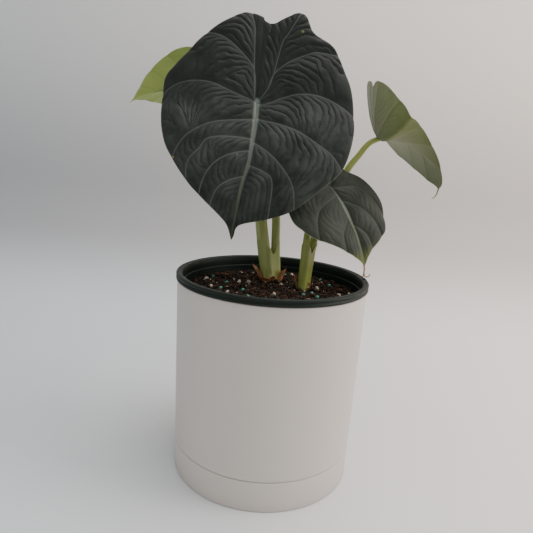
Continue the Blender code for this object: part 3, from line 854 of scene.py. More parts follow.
def round_path(knots, radii, around, per_span):
    """A path through knots, in mm, with a round bevel and closed ends, made into a mesh."""
    nothing_selected()
    bpy.ops.curve.primitive_bezier_curve_add()
    path = bpy.context.object
    spline = path.data.splines[0]
    spline.bezier_points.add(len(knots) - 2)
    for point, knot, radius in zip(spline.bezier_points, knots, radii):
        point.co = Vector(knot) * MM
        point.handle_left_type = point.handle_right_type = "AUTO"
        point.radius = radius
    path.data.bevel_depth = MM
    path.data.bevel_resolution = around
    path.data.resolution_u = per_span
    path.data.use_fill_caps = True
    bpy.ops.object.convert(target="MESH")
    bpy.ops.object.shade_smooth()
    return path


def petiole(name):
    plan = PETIOLES[name]
    knots = knots_of(plan)
    from_foot = [math.dist(knot, knots[0]) for knot in knots]
    radii = [stalk_radius(plan, reach / from_foot[-1]) for reach in from_foot]
    stalk = round_path(knots, radii, 10, 18)
    angle, walked, out = mark_stem(stalk.data, spline_through(knots, 24))
    ribs = 0.07 * np.sin(angle * 9 + walked * 0.01) + 0.05 * np.sin(angle * 17 + 1.3)
    swell = 0.5 * np.exp(-((walked - 9.0) / 7.0) ** 2)
    reach = np.linalg.norm(out, axis=1)
    grown = np.where(reach > 0.8, (reach + ribs + swell) / np.maximum(reach, 0.8), 1.0)
    points = points_of(stalk.data)
    move_points(stalk.data, points + out * (grown - 1)[:, None] * MM)
    settle(stalk, f"{name}_petiole", plan["finish"], [f"petiole_{name}"])


for name in PETIOLES:
    petiole(name)

# %% [markdown]
# ## Green sheaths round the pairs
# Low down, a young petiole comes up through the wrapped foot of an older one, so each pair looks
# like one stem that splits. The sleeve's cross-section is a band pulled round both stalks, and
# its mouth slopes down to a notch between them.

# %% Sleeves round two petioles
def line_at(line, z):
    """The centre line's place at a height."""
    return np.array([np.interp(z, line[:, 2], line[:, axis]) for axis in range(3)])


SLEEVE_FOOT = -1.5
SLEEVE_GAP = 0.35          # the sleeve's outside to a stalk's


def sleeve(name, first, second, finish, notch, tip):
    """Rings round two stalks, in mm above the soil; the mouth dips to a notch between them."""
    lines = [spline_through(knots_of(PETIOLES[n]), 24) for n in (first, second)]
    columns, rows = 72, 40
    apart = line_at(lines[1], SOIL_TOP + notch) - line_at(lines[0], SOIL_TOP + notch)
    axis = math.atan2(apart[1], apart[0])
    rings = []
    for row in range(rows + 1):
        ring = []
        for column in range(columns):
            angle = math.tau * column / columns
            top = notch + (tip - notch) * abs(math.cos(angle - axis)) ** 1.6
            z = SOIL_TOP + SLEEVE_FOOT + (top - SLEEVE_FOOT) * row / rows
            centres = [line_at(line, z)[:2] for line in lines]
            sizes = []
            for stalk_name, line, centre in zip((first, second), lines, centres):
                share = (z - line[0, 2]) / (line[-1, 2] - line[0, 2])
                sizes.append(stalk_radius(PETIOLES[stalk_name], share * 0.9))
            middle = (centres[0] * sizes[1] + centres[1] * sizes[0]) / (sizes[0] + sizes[1])
            way = np.array([math.cos(angle), math.sin(angle)])
            reach = 0.0
            for t in np.linspace(0, 1, 9):
                centre = centres[0] * (1 - t) + centres[1] * t - middle
                radius = sizes[0] * (1 - t) + sizes[1] * t + SLEEVE_GAP
                b = way @ centre
                inside = b * b - centre @ centre + radius * radius
                if inside > 0:
                    reach = max(reach, b + math.sqrt(inside))
            ring.append((*(middle + way * reach), z))
        rings.append(ring)
    nothing_selected()
    bpy.ops.mesh.primitive_grid_add(x_subdivisions=columns, y_subdivisions=rows, size=1.0)
    made = bpy.context.object
    points = points_of(made.data)
    for k, (u, v, _) in enumerate(points):
        column = round((u + 0.5) * columns) % columns
        points[k] = Vector(rings[round((v + 0.5) * rows)][column]) * MM
    move_points(made.data, points)
    merged(0.02 * MM)
    modified(made, "SOLIDIFY", thickness=0.45 * MM, offset=-1.0)
    mark_stem(made.data, (lines[0][:60] + lines[1][:60]) / 2)
    mark_points(made.data, "along", (points_of(made.data)[:, 2] / MM - SOIL_TOP) / 160)
    bpy.ops.object.shade_smooth_by_angle(angle=math.radians(50))
    settle(made, name, finish)


sleeve("left_sheath_sleeve", "front", "back", PALE_STALK, 25.0, 38.0)
sleeve("right_sheath_sleeve", "small", "side", YELLOW_STALK, 31.0, 40.0)

# %% [markdown]
# ## Dry sheaths
# The first sheaths of a petiole dry to thin brown paper that stands off the stalk's foot. Each is
# a patch of grid rolled round the foot, drawn in toward a ragged tip, crumpled and thickened.

# %% Papery sheaths
def paper_finish():
    paint = Finish("dry_sheath_paper", Specular_IOR_Level=0.3, Subsurface_Weight=0.1,
                   Subsurface_Radius=(1.0, 0.5, 0.2), Subsurface_Scale=0.001)
    where = paint.place()
    fibres = paint.noise(paint.stretched(where, (1.0, 1.0, 0.15)), 1500.0, 4.0, 0.6)
    clouds = paint.noise(where, 220.0, 3.0)
    colour = paint.mix(fibres.between(0.3, 0.7), (0.30, 0.125, 0.045), (0.42, 0.21, 0.09))
    stained = paint.mix(clouds.between(0.45, 0.75) * 0.8, colour, (0.11, 0.035, 0.012))
    return paint.wear(stained, 0.6 + fibres * 0.2, fibres, 0.0003, 0.8)


PAPER = paper_finish()


def papery(name, hugs, facing, arc, height, lean, gap, node=None):
    """Angles in degrees and sizes in mm, as in the solid model."""
    foot = PETIOLES[hugs]["route"][0]
    columns, rows = 30, 36
    nothing_selected()
    bpy.ops.mesh.primitive_grid_add(x_subdivisions=columns, y_subdivisions=rows, size=1.0)
    sheath = bpy.context.object
    points = points_of(sheath.data)
    seed = facing * 0.1
    for k, (u, v, _) in enumerate(points):
        up = (v + 0.5) * (1 - 0.22 * abs(rough((u * 9, 0.0, seed), 1.0)) - 0.5 * abs(u) ** 1.5)
        crumple = 0.9 * rough((u * 4, up * 3, seed), 1.0)
        crumple += 0.35 * rough((u * 11, up * 5, seed), 1.0)
        radius = PETIOLES[hugs]["foot"] + gap + lean * up ** 1.6 + crumple * up
        angle = math.radians(facing) + math.radians(arc) * u * (1 - 0.75 * up ** 2)
        angle += 0.06 * rough((u * 3, up * 7, seed), 1.0)
        x, y = foot[0] + radius * math.cos(angle), foot[1] + radius * math.sin(angle)
        points[k] = Vector((x, y, soil_level(x, y) * (1 - up) + SOIL_TOP * up
                            + height * up - 1.2 * (1 - up))) * MM
    move_points(sheath.data, points)
    modified(sheath, "SOLIDIFY", thickness=0.3 * MM, offset=0.0)
    bpy.ops.object.shade_smooth()
    settle(sheath, name, PAPER, [node] if node else ())


papery("left_paper_spike", "front", 165.0, 60.0, 15.0, 9.0, 1.6, "sheath_left")
papery("left_paper_low", "front", 250.0, 75.0, 6.5, 6.0, 1.4, "sheath_left_low")
papery("right_paper_scale", "back", 325.0, 95.0, 13.0, 5.0, 1.4, "sheath_right")
papery("small_paper_scale", "small", 175.0, 80.0, 14.0, 4.0, 1.4, "sheath_small")
papery("left_paper_flat", "front", 200.0, 70.0, 12.0, 3.5, 1.0)
papery("clump_paper_front", "front", 300.0, 70.0, 7.0, 3.0, 1.0)
papery("side_paper_foot", "side", 290.0, 90.0, 6.0, 2.5, 1.0)

# %% [markdown]
# ## Leaf blades
# A blade is a thin skin stretched between ribs. The midrib and the side veins are sunk in its top
# face and the skin swells between them, crossed by fine ripples, which gives the quilted look.
# No operator draws such a surface, so a grid is wrapped as a fan round the stalk's end and numpy
# moves its points: first onto the bent sheet of the solid model, then along its normal by
# the quilting. A Solidify modifier gives it a top and an underside, thinner toward the margin.

# %% Leaf shapes
# Points are (across, along) in mm from the stalk's end, with along growing toward the tip.
# rise and lift are the slopes at the stalk, in degrees, of the tip half and the lobes; droop and
# lean are how far those turn back by the margin. left and right hold the same two angles for the
# sides, and how much the first one changes over the length. turn is heading, hang and swing.
LEAVES = {
    "front": {
        "at": (-23.3, 12.0, 153.5), "turn": (-2.0, 66.0, 0.0), "length": 210.0, "sway": -0.18,
        "left": (12.0, 24.0, 0.0), "right": (12.0, 24.0, 0.0),
        "rise": 10.0, "droop": 34.0, "lift": 8.0, "lean": 0.0,
        "outline": [(10, -69), (21, -74), (32, -79), (39, -75), (46, -61), (63, -51), (72, -35),
                    (81, -13), (85, 21), (80, 54), (65, 73), (47, 91), (29, 99), (6, 105),
                    (3, 114), (0, 117), (-3, 114), (-11, 103), (-31, 88), (-49, 73),
                    (-67, 52), (-76, 36), (-82, 14), (-83, -15), (-74, -29), (-63, -41),
                    (-55, -52), (-42, -63), (-20, -77), (-4, -76)],
        "midrib": [(0, 0), (1, 30), (1, 55), (-2, 76), (-1, 105), (0, 117)],
        "right_veins": [
            [(0, 0), (4, -3), (11, -13), (15, -25), (20, -52), (25, -61), (35, -80)],
            [(0, 0), (4, -3), (11, -13), (15, -25), (28, -36), (43, -43), (51, -45), (70, -44)],
            [(0, 0), (10, 1), (27, -6), (41, -9), (58, -7), (74, 0), (90, 12)],
            [(0, 14), (9, 16), (34, 23), (54, 34), (71, 45), (86, 65)],
            [(0, 36), (5, 37), (21, 47), (36, 62), (44, 75), (49, 95)],
            [(1, 55), (17, 61), (26, 70), (29, 103)],
        ],
        "left_veins": [
            [(0, 0), (-4, -3), (-7, -29), (-9, -55), (-10, -67), (-15, -81)],
            [(0, 0), (-4, -3), (-7, -29), (-20, -43), (-35, -54), (-55, -58)],
            [(0, 0), (-19, -6), (-47, -15), (-71, -12), (-88, 0)],
            [(0, 14), (-5, 16), (-31, 20), (-47, 27), (-60, 40), (-67, 62)],
            [(0, 33), (-16, 33), (-37, 36), (-44, 46), (-51, 58), (-49, 78)],
            [(0, 44), (-5, 44), (-18, 48), (-29, 56), (-36, 71), (-37, 95)],
            [(0, 64), (-14, 69), (-24, 79), (-27, 101)],
        ],
    },
    "small": {
        "at": (45.1, 18.0, 88.5), "turn": (22.0, 60.0, 21.0), "length": 135.0, "sway": 0.0,
        "left": (14.0, 28.0, 0.0), "right": (14.0, 28.0, 0.0),
        "rise": 10.0, "droop": 36.0, "lift": 8.0, "lean": 0.0,
        "outline": [(1, -22), (5, -28), (12, -28), (18, -19), (22, -10), (32, -1), (38, 10),
                    (41, 23), (40, 35), (35, 51), (29, 57), (17, 63), (9, 68), (2, 75),
                    (-8, 67), (-16, 59), (-26, 50), (-36, 42), (-44, 35), (-50, 26), (-54, 15),
                    (-50, -3), (-40, -17), (-24, -28), (-9, -31), (-3, -27)],
        "midrib": [(0, 0), (2, 8), (4, 23), (3, 37), (3, 52), (2, 75)],
        "right_veins": [
            [(0, 0), (8, -8), (16, -24)],
            [(0, 0), (16, 4), (26, 9), (33, 20), (38, 42)],
            [(3, 14), (11, 19), (19, 27), (24, 36), (27, 45), (28, 60)],
            [(3, 37), (9, 43), (14, 52), (15, 67)],
        ],
        "left_veins": [
            [(0, 0), (-6, -12), (-17, -32)],
            [(0, 0), (-20, -6), (-40, -4), (-56, 6)],
            [(2, 7), (-23, 14), (-31, 20), (-36, 28), (-40, 42)],
            [(3, 29), (-8, 35), (-16, 45), (-18, 62)],
        ],
    },
    "side": {
        "at": (86.6, 47.0, 134.0), "turn": (158.8, 42.1, -53.7), "length": 161.5, "sway": 0.05,
        "left": (-52.0, -65.6, -24.7), "right": (53.9, -9.0, -89.3),
        "rise": 63.2, "droop": 137.1, "lift": 66.5, "lean": -12.3,
        "outline": [(3, -65), (11, -69), (21, -68), (33, -65), (44, -61), (56, -54), (67, -41),
                    (74, -18), (74, 10), (69, 28), (58, 43), (42, 56), (28, 68), (17, 79),
                    (8, 87), (3, 92), (0, 94), (-4, 92), (-11, 88), (-21, 82), (-30, 71),
                    (-39, 56), (-48, 40), (-57, 24), (-65, 6), (-64, -14), (-55, -34),
                    (-46, -50), (-38, -60), (-30, -67), (-20, -72), (-11, -71), (-3, -66)],
    },
    "back": {
        "at": (-74.5, 72.0, 162.5), "turn": (-174.0, 33.0, 95.0), "length": 135.0, "sway": 0.05,
        "left": (23.5, 22.0, 0.0), "right": (23.5, 22.0, 0.0),
        "rise": 23.0, "droop": 75.0, "lift": 9.0, "lean": 5.0,
    },
}

# The right half of an even blade and of its veins, as shares of its length.
EVEN_HALF = [(0.0, -0.37), (0.03, -0.385), (0.08, -0.415), (0.14, -0.43), (0.19, -0.39),
             (0.235, -0.335), (0.275, -0.30), (0.33, -0.21), (0.375, -0.08), (0.385, 0.05),
             (0.365, 0.16), (0.315, 0.255), (0.24, 0.345), (0.165, 0.42), (0.08, 0.485),
             (0.035, 0.52), (0.012, 0.555), (0.0, 0.57)]
EVEN_VEINS = [[(0, 0), (0.05, -0.15), (0.12, -0.33), (0.15, -0.43)],
              [(0, 0), (0.15, -0.10), (0.28, -0.16), (0.36, -0.17)],
              [(0, 0), (0.17, 0.02), (0.31, 0.08), (0.40, 0.14)],
              [(0, 0.10), (0.15, 0.16), (0.26, 0.25), (0.33, 0.34)],
              [(0, 0.22), (0.10, 0.29), (0.18, 0.38), (0.21, 0.45)],
              [(0, 0.34), (0.06, 0.40), (0.10, 0.50)]]


def drawn(leaf, key):
    """A leaf's outline, midrib or side veins, in mm; an even leaf scales the shares."""
    length = leaf["length"]
    if key in leaf:
        return leaf[key]
    if key == "outline":
        right = [(x * length, y * length) for x, y in EVEN_HALF]
        return right + [(-x, y) for x, y in reversed(right[1:-1])]
    if key == "midrib":
        return [(0, 0), (0, 0.3 * length), (0, 0.6 * length)]
    sign = 1 if key == "right_veins" else -1
    return [[(sign * x * length, y * length) for x, y in vein] for vein in EVEN_VEINS]


# %% Bending a flat blade, many points at a time
ATTACH_ROUND = 8.0         # length over which the bend at the stalk is rounded
MIDRIB_ROUND = 3.0         # the same across the midrib
HALF_WIDTH_SHARE = 0.385
TIP_SHARE = 0.57
LOBE_SHARE = 0.43


def walk(distance, slope, turn, length):
    """Run and climb after walking along a path that starts at a slope and turns down."""
    start = np.radians(slope)
    rate = math.radians(turn) / length
    if abs(rate) < 1e-6:
        return distance * np.cos(start), distance * np.sin(start)
    now = start - rate * distance
    return (np.sin(start) - np.sin(now)) / rate, (np.cos(now) - np.cos(start)) / rate


def bent(leaf, across, along):
    """Flat points bent to shape, with the tip toward -Y and the top face up."""
    length = leaf["length"]
    forward = (along + np.hypot(along, ATTACH_ROUND)) / 2
    ahead, ahead_climb = walk(forward, leaf["rise"], leaf["droop"],
                              length * TIP_SHARE)
    behind, behind_climb = walk(forward - along, leaf["lift"], leaf["lean"],
                                length * LOBE_SHARE)
    halves = [walk(np.hypot(across, MIDRIB_ROUND) - MIDRIB_ROUND,
                   fold + twist * forward / length, curl, length * HALF_WIDTH_SHARE)
              for fold, curl, twist in (leaf["left"], leaf["right"])]
    out = np.where(across > 0, halves[1][0], -halves[0][0])
    climb = np.where(across > 0, halves[1][1], halves[0][1])
    return np.stack([out, behind - ahead, climb + ahead_climb + behind_climb], -1)


def leaf_points(leaf, flat):
    """Flat points in the object's frame, in mm."""
    heading, hang, swing = (math.radians(angle) for angle in leaf["turn"])
    turn = (Matrix.Rotation(heading, 3, "Z") @ Matrix.Rotation(hang, 3, "X")
            @ Matrix.Rotation(swing, 3, "Z"))
    centre = np.zeros((1, 2))
    local = bent(leaf, flat[:, 0], flat[:, 1]) - bent(leaf, centre[:, 0], centre[:, 1])
    local[:, 0] += leaf["sway"] * np.maximum(flat[:, 1], 0) ** 2 / leaf["length"]
    return local @ np.array(turn).T + np.add(leaf["at"], (0, 0, SOIL_TOP))


def leaf_normals(leaf, flat, step=0.2):
    """Directions straight out of the top face."""
    across = leaf_points(leaf, flat + [step, 0]) - leaf_points(leaf, flat - [step, 0])
    along = leaf_points(leaf, flat + [0, step]) - leaf_points(leaf, flat - [0, step])
    out = np.cross(along, across)
    return out / np.linalg.norm(out, axis=1)[:, None]


# %% Ribs, quilting and ripples
def near_line(points, line):
    """Distance to a line, the side of it, and the way walked along it."""
    step = np.diff(line, axis=0)
    squared = (step ** 2).sum(1)
    away = points[:, None, :] - line[None, :-1, :]
    share = np.clip((away * step).sum(-1) / squared, 0, 1)
    off = away - share[..., None] * step
    distance = np.hypot(off[..., 0], off[..., 1])
    rows = np.arange(len(points))
    best = distance.argmin(1)
    near = away[rows, best]
    cross = step[best, 0] * near[:, 1] - step[best, 1] * near[:, 0]
    return (distance[rows, best], np.where(cross < 0, -1.0, 1.0),
            way_along(line)[best] + share[rows, best] * np.sqrt(squared[best]))


RIPPLE_GAP = (6.5, 0.01)   # between ripples: in mm, and added as a share of the length
NESTED_GAP = (3.2, 0.005)  # the same past the last vein, where they follow it
SLANT = 30.0               # how far ripples lean along the vein that they start from
SLANT_REACH = 13.0         # how far from the vein they do most of it


def quilt(leaf, flat, swell, rib_share):
    """The height of the skin above the bent sheet and what the finish reads, at each point."""
    length = leaf["length"]
    rib_far, rib_side, rib_way = near_line(flat, spline_through(drawn(leaf, "midrib"), 6))
    rib_far = np.hypot(rib_far, MIDRIB_ROUND) - MIDRIB_ROUND
    halves = [[near_line(flat, spline_through(vein, 5)) for vein in drawn(leaf, key)]
              for key in ("right_veins", "left_veins")]
    far, side, way = (np.stack(part, 1) for part in zip(*halves[0], *halves[1]))
    rows = np.arange(len(flat))
    nearest = far.argmin(1)
    vein_far, vein_side, vein_way = (part[rows, nearest] for part in (far, side, way))
    phases = []
    for half, sign in zip(halves, (1.0, -1.0)):
        far, side, way = (np.stack(part, 1) for part in zip(*half))
        cell = (side == sign).sum(1)
        below = np.maximum(cell - 1, 0)
        off = far[rows, below]
        leant = way[rows, below] - SLANT * (1 - np.exp(-off / SLANT_REACH))
        slanting = leant / (RIPPLE_GAP[0] + RIPPLE_GAP[1] * length)
        nested = off / (NESTED_GAP[0] + NESTED_GAP[1] * length)
        phases.append(np.where(cell == len(half), nested, slanting))
    phase = np.where(rib_side < 0, *phases)
    dents = np.array([rough((*p, 0.0), 0.055, 3.0) for p in flat])
    grain = np.array([rough((*p, 0.0), 0.16, 9.0) for p in flat])
    phase += 0.55 * dents + 0.25 * grain
    middle_far = np.where(flat[:, 1] < 0, np.abs(flat[:, 0]) - 1.5, rib_far)
    rib_half = rib_share * length * np.maximum(1 - rib_way / length / 0.75, 0.25)
    depth = np.clip(np.minimum(vein_far - 0.8, middle_far - rib_half) / 3.5, 0, 1)
    depth *= 0.8 + 0.7 * grain
    ripple = (np.abs(np.sin(np.pi * phase)) - 0.6) * depth
    valley = np.minimum(vein_far, rib_far)
    pillow = swell * (1 - np.exp(-valley / (0.022 * length)))
    height = pillow + ripple * 0.3 * max(swell - 1.0, 0.1) + dents * 0.5 * swell
    vein_half = np.maximum(0.0024 * length * (1 - vein_way / length), 0.0013 * length)
    return height, {
        "vein": vein_side * vein_far / vein_half,
        "vein_near": np.clip(2.0 - vein_far / (0.0065 * length), 0, 1),
        "rib": rib_side * rib_far / rib_half,
        "rib_near": np.clip(2.0 - rib_far / (2.5 * rib_half), 0, 1),
        "phase": phase * math.pi,
        "depth": depth,
        "along": np.clip(flat[:, 1] / length + LOBE_SHARE, 0, 1),
        # where painted shade darkens the skin along the valleys of the sunk ribs
        "valley_shade": np.exp(-valley / (0.03 * length)),
    }


print("leaves:", ", ".join(LEAVES))

# %% [markdown]
# The dark leaves have a matte, faintly velvety top: a little sheen, a rough surface and thin pale
# lines along the ribs. The line along a rib comes from the signed distance to it, which stays
# sharp between two points of the mesh. The undersides are plainer and more olive.

# %% Leaf finishes
def blade_skin(name, body, deep, line, rib, rib_tip, contrast, gloss, crumpled,
               lobe_shade=0.0, tip=None, lit_half=None, spots=()):
    """body, deep: the skin and its hollows; line, rib, rib_tip: side veins and midrib.

    contrast: how clear the veins are; crumpled: how deep the creases, in the bump and in the
    painted shade there; deep also serves as painted shade in the creases, the rib valleys and
    the lobe region; lobe_shade: how much painted shade darkens that region.
    tip: a colour toward the tip and the shares of the length it comes in between, a yellowed tip
    on the small leaf and painted shade past the stalk on the side leaf's underside; lit_half:
    a lighter colour painted as light on the right half; spots: small marks, each a place on the
    flat leaf, a radius and a colour.
    """
    paint = Finish(name, Sheen_Weight=0.07, Sheen_Roughness=0.45, Specular_IOR_Level=gloss,
                   Subsurface_Weight=0.08, Subsurface_Radius=(0.5, 1.0, 0.2),
                   Subsurface_Scale=0.001)
    flat = paint.mark("flat", "Vector")
    clouds = paint.noise(flat, 45.0, 4.0, 0.6)
    grain = paint.noise(flat, 1100.0, 3.0)
    crest = paint.mark("phase").wave().size() ** 0.6
    crease = (1 - crest) * paint.mark("depth")
    valley_shade = paint.mark("valley_shade")
    along = paint.mark("along")
    edge = paint.mark("edge")
    skin = paint.mix(clouds.between(0.3, 0.72), body, deep)
    # Painted shade: toward the stalk end the lobe region turns toward the deep colour.
    shaded = paint.mix((1 - along.between(0.25, 0.6)) * lobe_shade, skin, deep)
    # A colour toward the tip: on the small leaf's top a real yellowed tip, on the side leaf's
    # underside painted shade over the tip half.
    if tip:
        colour, start, end = tip
        shaded = paint.mix(along.between(start, end) * 0.9, shaded, colour)
    # Painted light: the right half turns to a lighter colour, as if it caught the light.
    if lit_half:
        shaded = paint.mix(paint.part(flat, "X").between(-0.0005, 0.002), shaded, lit_half)
    # Painted shade: darker in the ripples' creases and in the valleys along the sunk ribs.
    crease_shaded = paint.mix(crease * 0.75 * crumpled + valley_shade * 0.25, shaded, deep)
    vein_line = 1 - paint.mark("vein").size().between(0.55, 1.5)
    vein_glow = (1 - paint.mark("vein").size().between(0.5, 4.0)) * 0.22
    veins = vein_line.most(vein_glow) * paint.mark("vein_near")
    lined = paint.mix(veins * contrast, crease_shaded, line)
    rib_line = (1 - paint.mark("rib").size().between(0.45, 1.2)) * paint.mark("rib_near")
    rib_colour = paint.mix(along.between(0.55, 0.95), rib, rib_tip)
    ribbed = paint.mix(rib_line, lined, rib_colour)
    rimmed = paint.mix((1 - edge.between(0.25, 0.9)) * 0.6, ribbed, rib_tip)
    for spot, radius, colour in spots:
        away = paint.node("VectorMath", {"operation": "DISTANCE"}, {0: flat, 1: spot},
                          output="Value") + clouds * radius
        rimmed = paint.mix(1 - away.between(radius, 1.6 * radius), rimmed, colour)
    roughness = 0.46 + clouds * 0.14 + grain * 0.08
    return paint.wear(rimmed, roughness, grain * 0.12 - crease * crumpled, 0.0007, 0.9)


# The dark top gets painted shade over the blade's lobe region.
DARK_TOP = blade_skin("dark_leaf_top", (0.041, 0.048, 0.041), (0.0095, 0.0125, 0.010),
                      (0.11, 0.125, 0.105), (0.15, 0.175, 0.15), (0.055, 0.062, 0.036),
                      0.65, 0.2, 1.0, lobe_shade=0.8,
                      spots=[((-0.0638, 0.0542, 0.0), 0.0012, (0.24, 0.20, 0.03)),
                             ((0.0366, -0.0613, 0.0), 0.0014, (0.11, 0.16, 0.03)),
                             ((-0.0125, 0.0482, 0.0), 0.0006, (0.16, 0.16, 0.12))])
GREENER_TOP = blade_skin("green_leaf_top", (0.034, 0.042, 0.030), (0.013, 0.017, 0.011),
                         (0.085, 0.10, 0.075), (0.17, 0.19, 0.155), (0.16, 0.18, 0.10),
                         0.6, 0.25, 0.3, tip=((0.15, 0.18, 0.045), 0.84, 0.99))
DARK_UNDER = blade_skin("dark_leaf_underside", (0.14, 0.165, 0.10), (0.10, 0.12, 0.07),
                        (0.16, 0.18, 0.10), (0.26, 0.29, 0.14), (0.24, 0.26, 0.12),
                        0.5, 0.35, 0.5)
# The side leaf's underside gets painted light on its right half, as the lighter colour below, and
# painted shade over its tip half, as the tip colour.
OLIVE_UNDER = blade_skin("olive_leaf_underside", (0.155, 0.185, 0.055), (0.125, 0.15, 0.042),
                         (0.085, 0.105, 0.028), (0.12, 0.145, 0.045), (0.17, 0.19, 0.08),
                         0.7, 0.35, 0.3, tip=((0.095, 0.112, 0.026), 0.42, 0.52),
                         lit_half=(0.19, 0.215, 0.125))
LIT_UNDER = blade_skin("lit_leaf_underside", (0.33, 0.42, 0.105), (0.26, 0.34, 0.08),
                       (0.20, 0.27, 0.06), (0.36, 0.44, 0.14), (0.36, 0.42, 0.14),
                       0.5, 0.35, 0.3)

# %% A blade from a grid
def closed_curve(points, count):
    """A closed Catmull-Rom curve through points, at evenly spaced places."""
    knots = [np.array(point, float) for point in points]
    curve = []
    for i in range(len(knots)):
        four = [knots[(i + k) % len(knots)] for k in (-1, 0, 1, 2)]
        curve += [between_knots(*four, t) for t in np.arange(12) / 12]
    curve = np.array(curve + [curve[0]])
    walked = way_along(curve)
    evenly = np.linspace(0, walked[-1], count + 1)
    return np.stack([np.interp(evenly, walked, curve[:, axis]) for axis in (0, 1)], 1)


BLADE_THICKNESS = 0.9


def blade(name, top, under, columns, rows, swell, rib_share):
    """One leaf. swell: the quilting's height in mm; rib_share: the midrib's width to the length."""
    leaf = LEAVES[name]
    outline = closed_curve(drawn(leaf, "outline"), columns)
    nothing_selected()
    bpy.ops.mesh.primitive_grid_add(x_subdivisions=columns, y_subdivisions=rows, size=1.0)
    made = bpy.context.object
    square = points_of(made.data)
    turn = np.rint((square[:, 0] + 0.5) * columns).astype(int)
    share = square[:, 1] + 0.5
    flat = outline[turn] * share[:, None]
    reach = np.linalg.norm(outline[turn], axis=1)
    mark_points(made.data, "edge", (1 - share) * reach)
    move_points(made.data, np.c_[flat, 0 * share] * MM)
    merged(0.12 * MM)
    if sum(face.normal.z for face in made.data.polygons) > 0:
        bpy.ops.object.mode_set(mode="EDIT")
        bpy.ops.mesh.flip_normals()
        bpy.ops.object.mode_set(mode="OBJECT")
    flat = points_of(made.data)[:, :2] / MM
    height, marks = quilt(leaf, flat, swell, rib_share)
    edge = np.empty(len(flat))
    made.data.attributes["edge"].data.foreach_get("value", edge)
    height -= 0.5 * swell * np.exp(-edge / 2.5)
    for mark, values in marks.items():
        mark_points(made.data, mark, values)
    mark_points(made.data, "flat", np.c_[flat, 0 * edge] * MM, "FLOAT_VECTOR")
    points = leaf_points(leaf, flat) + leaf_normals(leaf, flat) * height[:, None]
    move_points(made.data, points * MM)
    thick = made.vertex_groups.new(name="thick")
    for weight in (0.4, 0.6, 0.8, 1.0):
        inside = np.nonzero(edge > (weight - 0.4) * 20)[0]
        thick.add([int(k) for k in inside], weight, "REPLACE")
    bpy.ops.object.shade_smooth()
    for material in (top, under):
        made.data.materials.append(material)
    modified(made, "SOLIDIFY", thickness=BLADE_THICKNESS * MM, offset=0.0,
             vertex_group="thick", material_offset=1, use_quality_normals=True)
    settle(made, f"{name}_leaf_blade", None, [f"leaf_{name}"])


blade("front", DARK_TOP, DARK_UNDER, 512, 88, 2.2, 0.0155)
blade("small", GREENER_TOP, DARK_UNDER, 400, 70, 1.5, 0.006)
blade("side", DARK_TOP, OLIVE_UNDER, 440, 80, 0.6, 0.006)
blade("back", DARK_TOP, LIT_UNDER, 400, 70, 0.9, 0.006)

# %% [markdown]
# ## Dried tips
# The small leaf ends in a brown knot with a thread and a curled scrap of dry blade, and the side
# leaf ends in a short curved thread. Each thread is a path with a round bevel that thins out.

# %% Threads
def thread(name, leaf, tip, steps, thick, thin, finish):
    """A path in mm from a blade's tip, through steps away from it."""
    start = leaf_points(LEAVES[leaf], np.array([tip], float))[0]
    knots = [start + np.array(step) for step in steps]
    settle(round_path(knots, np.linspace(thick, thin, len(knots)), 3, 10), name, finish)


thread("small_leaf_thread", "small", (2, 73.5),
       [(0.0, 0.0, 0.8), (0.1, -0.3, -1.5), (0.5, -0.6, -4.5), (0.4, -0.8, -7.0),
        (1.2, -0.8, -9.8), (3.2, -0.8, -10.6), (5.2, -0.8, -9.6), (5.4, -0.8, -7.6)],
       0.75, 0.38, PAPER)
thread("small_leaf_scrap", "small", (2, 73.5),
       [(0.7, -0.7, -7.6), (0.2, -0.9, -9.6), (-0.4, -0.9, -11.6)], 0.95, 0.3, PAPER)
thread("side_leaf_thread", "side", (0, 93.5),
       [(0.1, 0.0, 0.8), (-0.5, -0.2, -2.2), (-1.4, -0.5, -5.2), (-3.0, -0.8, -7.6),
        (-5.4, -1.2, -9.2)], 0.8, 0.3, OLIVE_UNDER)


# %% [markdown]
# ## Setting
# The camera stands a little above the rim and looks slightly down. The light is a wide soft one
# from above and behind, with fill from both sides, so the shadows are weak.

# %% Floor, camera and lights
def floor_painted_light():
    paint = Finish("floor", Specular_IOR_Level=0.2)
    where = paint.place()
    clouds = paint.noise(where, 3.0, 2.0)
    sideways = paint.part(where, "X")
    height = paint.part(where, "Z")
    # Painted light: the table runs from a cool, dimmer colour at the left to a warm, brighter one
    # at the right, and the wall is painted darker low down as shade and lighter higher up as light,
    # cool to warm from left to right.
    table = paint.mix(sideways.between(-0.4, 0.4), (0.63, 0.685, 0.72), (0.81, 0.775, 0.76))
    shaded_low_wall = paint.mix(sideways.between(-0.6, 0.6), (0.39, 0.40, 0.415), (0.60, 0.555, 0.52))
    lit_high_wall = paint.mix(sideways.between(-0.6, 0.6), (0.60, 0.615, 0.62), (0.86, 0.79, 0.72))
    wall = paint.mix(height.between(0.18, 0.55), shaded_low_wall, lit_high_wall)
    colour = paint.mix(height.between(0.0, 0.14), table, wall)
    return paint.wear(colour, 0.75 + clouds * 0.1)


def pick_edges(piece, wanted):
    """Go into edit mode with just those edges selected whose two ends are wanted."""
    bpy.ops.object.mode_set(mode="EDIT")
    bpy.ops.mesh.select_mode(type="EDGE")
    bpy.ops.mesh.select_all(action="DESELECT")
    bpy.ops.object.mode_set(mode="OBJECT")
    for edge in piece.data.edges:
        edge.select = all(wanted(piece.data.vertices[k].co) for k in edge.vertices)
    bpy.ops.object.mode_set(mode="EDIT")


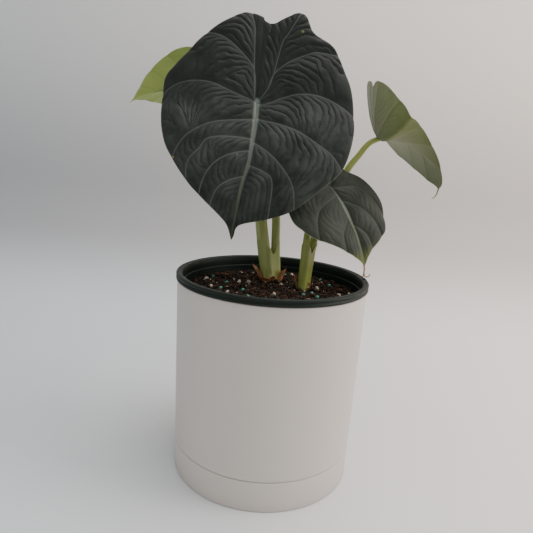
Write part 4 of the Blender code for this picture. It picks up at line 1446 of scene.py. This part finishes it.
nothing_selected()
bpy.ops.mesh.primitive_plane_add(size=1.0, location=(0.0, -0.8, 0.0))
floor = bpy.context.object
floor.scale = (4.0, 2.6, 1.0)
bpy.ops.object.transform_apply(location=True, rotation=True, scale=True)
pick_edges(floor, lambda end: end.y > 0.0)
bpy.ops.mesh.extrude_region_move(TRANSFORM_OT_translate={"value": (0.0, 0.0, 1.8)})
pick_edges(floor, lambda end: end.y > 0.0 and end.z < 0.1)
bpy.ops.mesh.bevel(offset=0.22, segments=20)
bpy.ops.object.mode_set(mode="OBJECT")
bpy.ops.object.shade_smooth()
floor.name = "floor"
floor.data.materials.append(floor_painted_light())

bpy.ops.object.camera_add(location=(0.0, -0.4268, 0.2734))
camera = bpy.context.object
back = Vector((0.0134, -0.9776, 0.2101)).normalized()
right = Vector((0.9973, 0.0282, 0.0678))
right = (right - back * right.dot(back)).normalized()
camera.rotation_euler = Matrix((right, back.cross(right), back)).transposed().to_euler()
camera.data.lens = 34.1
camera.data.sensor_width = 36.0
bpy.context.scene.camera = camera


def soft_light(name, place, aim, size, power, colour):
    """A square area light that faces a point."""
    bpy.ops.object.light_add(type="AREA", location=place)
    lamp = bpy.context.object
    lamp.name = name
    lamp.data.size = size
    lamp.data.energy = power
    lamp.data.color = colour
    lamp.rotation_euler = (Vector(aim) - Vector(place)).to_track_quat("-Z", "Y").to_euler()


soft_light("sky", (0.35, 0.0, 1.5), (0.2, -0.1, 0.0), 1.2, 19.0, (1.0, 0.98, 0.97))
soft_light("warm_side", (1.4, -0.1, 0.8), (0.1, 0.3, 0.25), 0.9, 15.0, (1.0, 0.93, 0.88))
soft_light("cool_side", (-1.3, -0.6, 0.7), (0.0, 0.0, 0.2), 1.0, 2.0, (0.80, 0.92, 1.0))
soft_light("front_fill", (0.3, -1.6, 0.6), (0.0, 0.0, 0.2), 1.2, 2.0, (1.0, 0.97, 0.94))

world = bpy.data.worlds.new("room")
bpy.context.scene.world = world
world.use_nodes = True
room = world.node_tree.nodes["Background"].inputs
room["Color"].default_value = (0.72, 0.70, 0.69, 1.0)
room["Strength"].default_value = 0.65
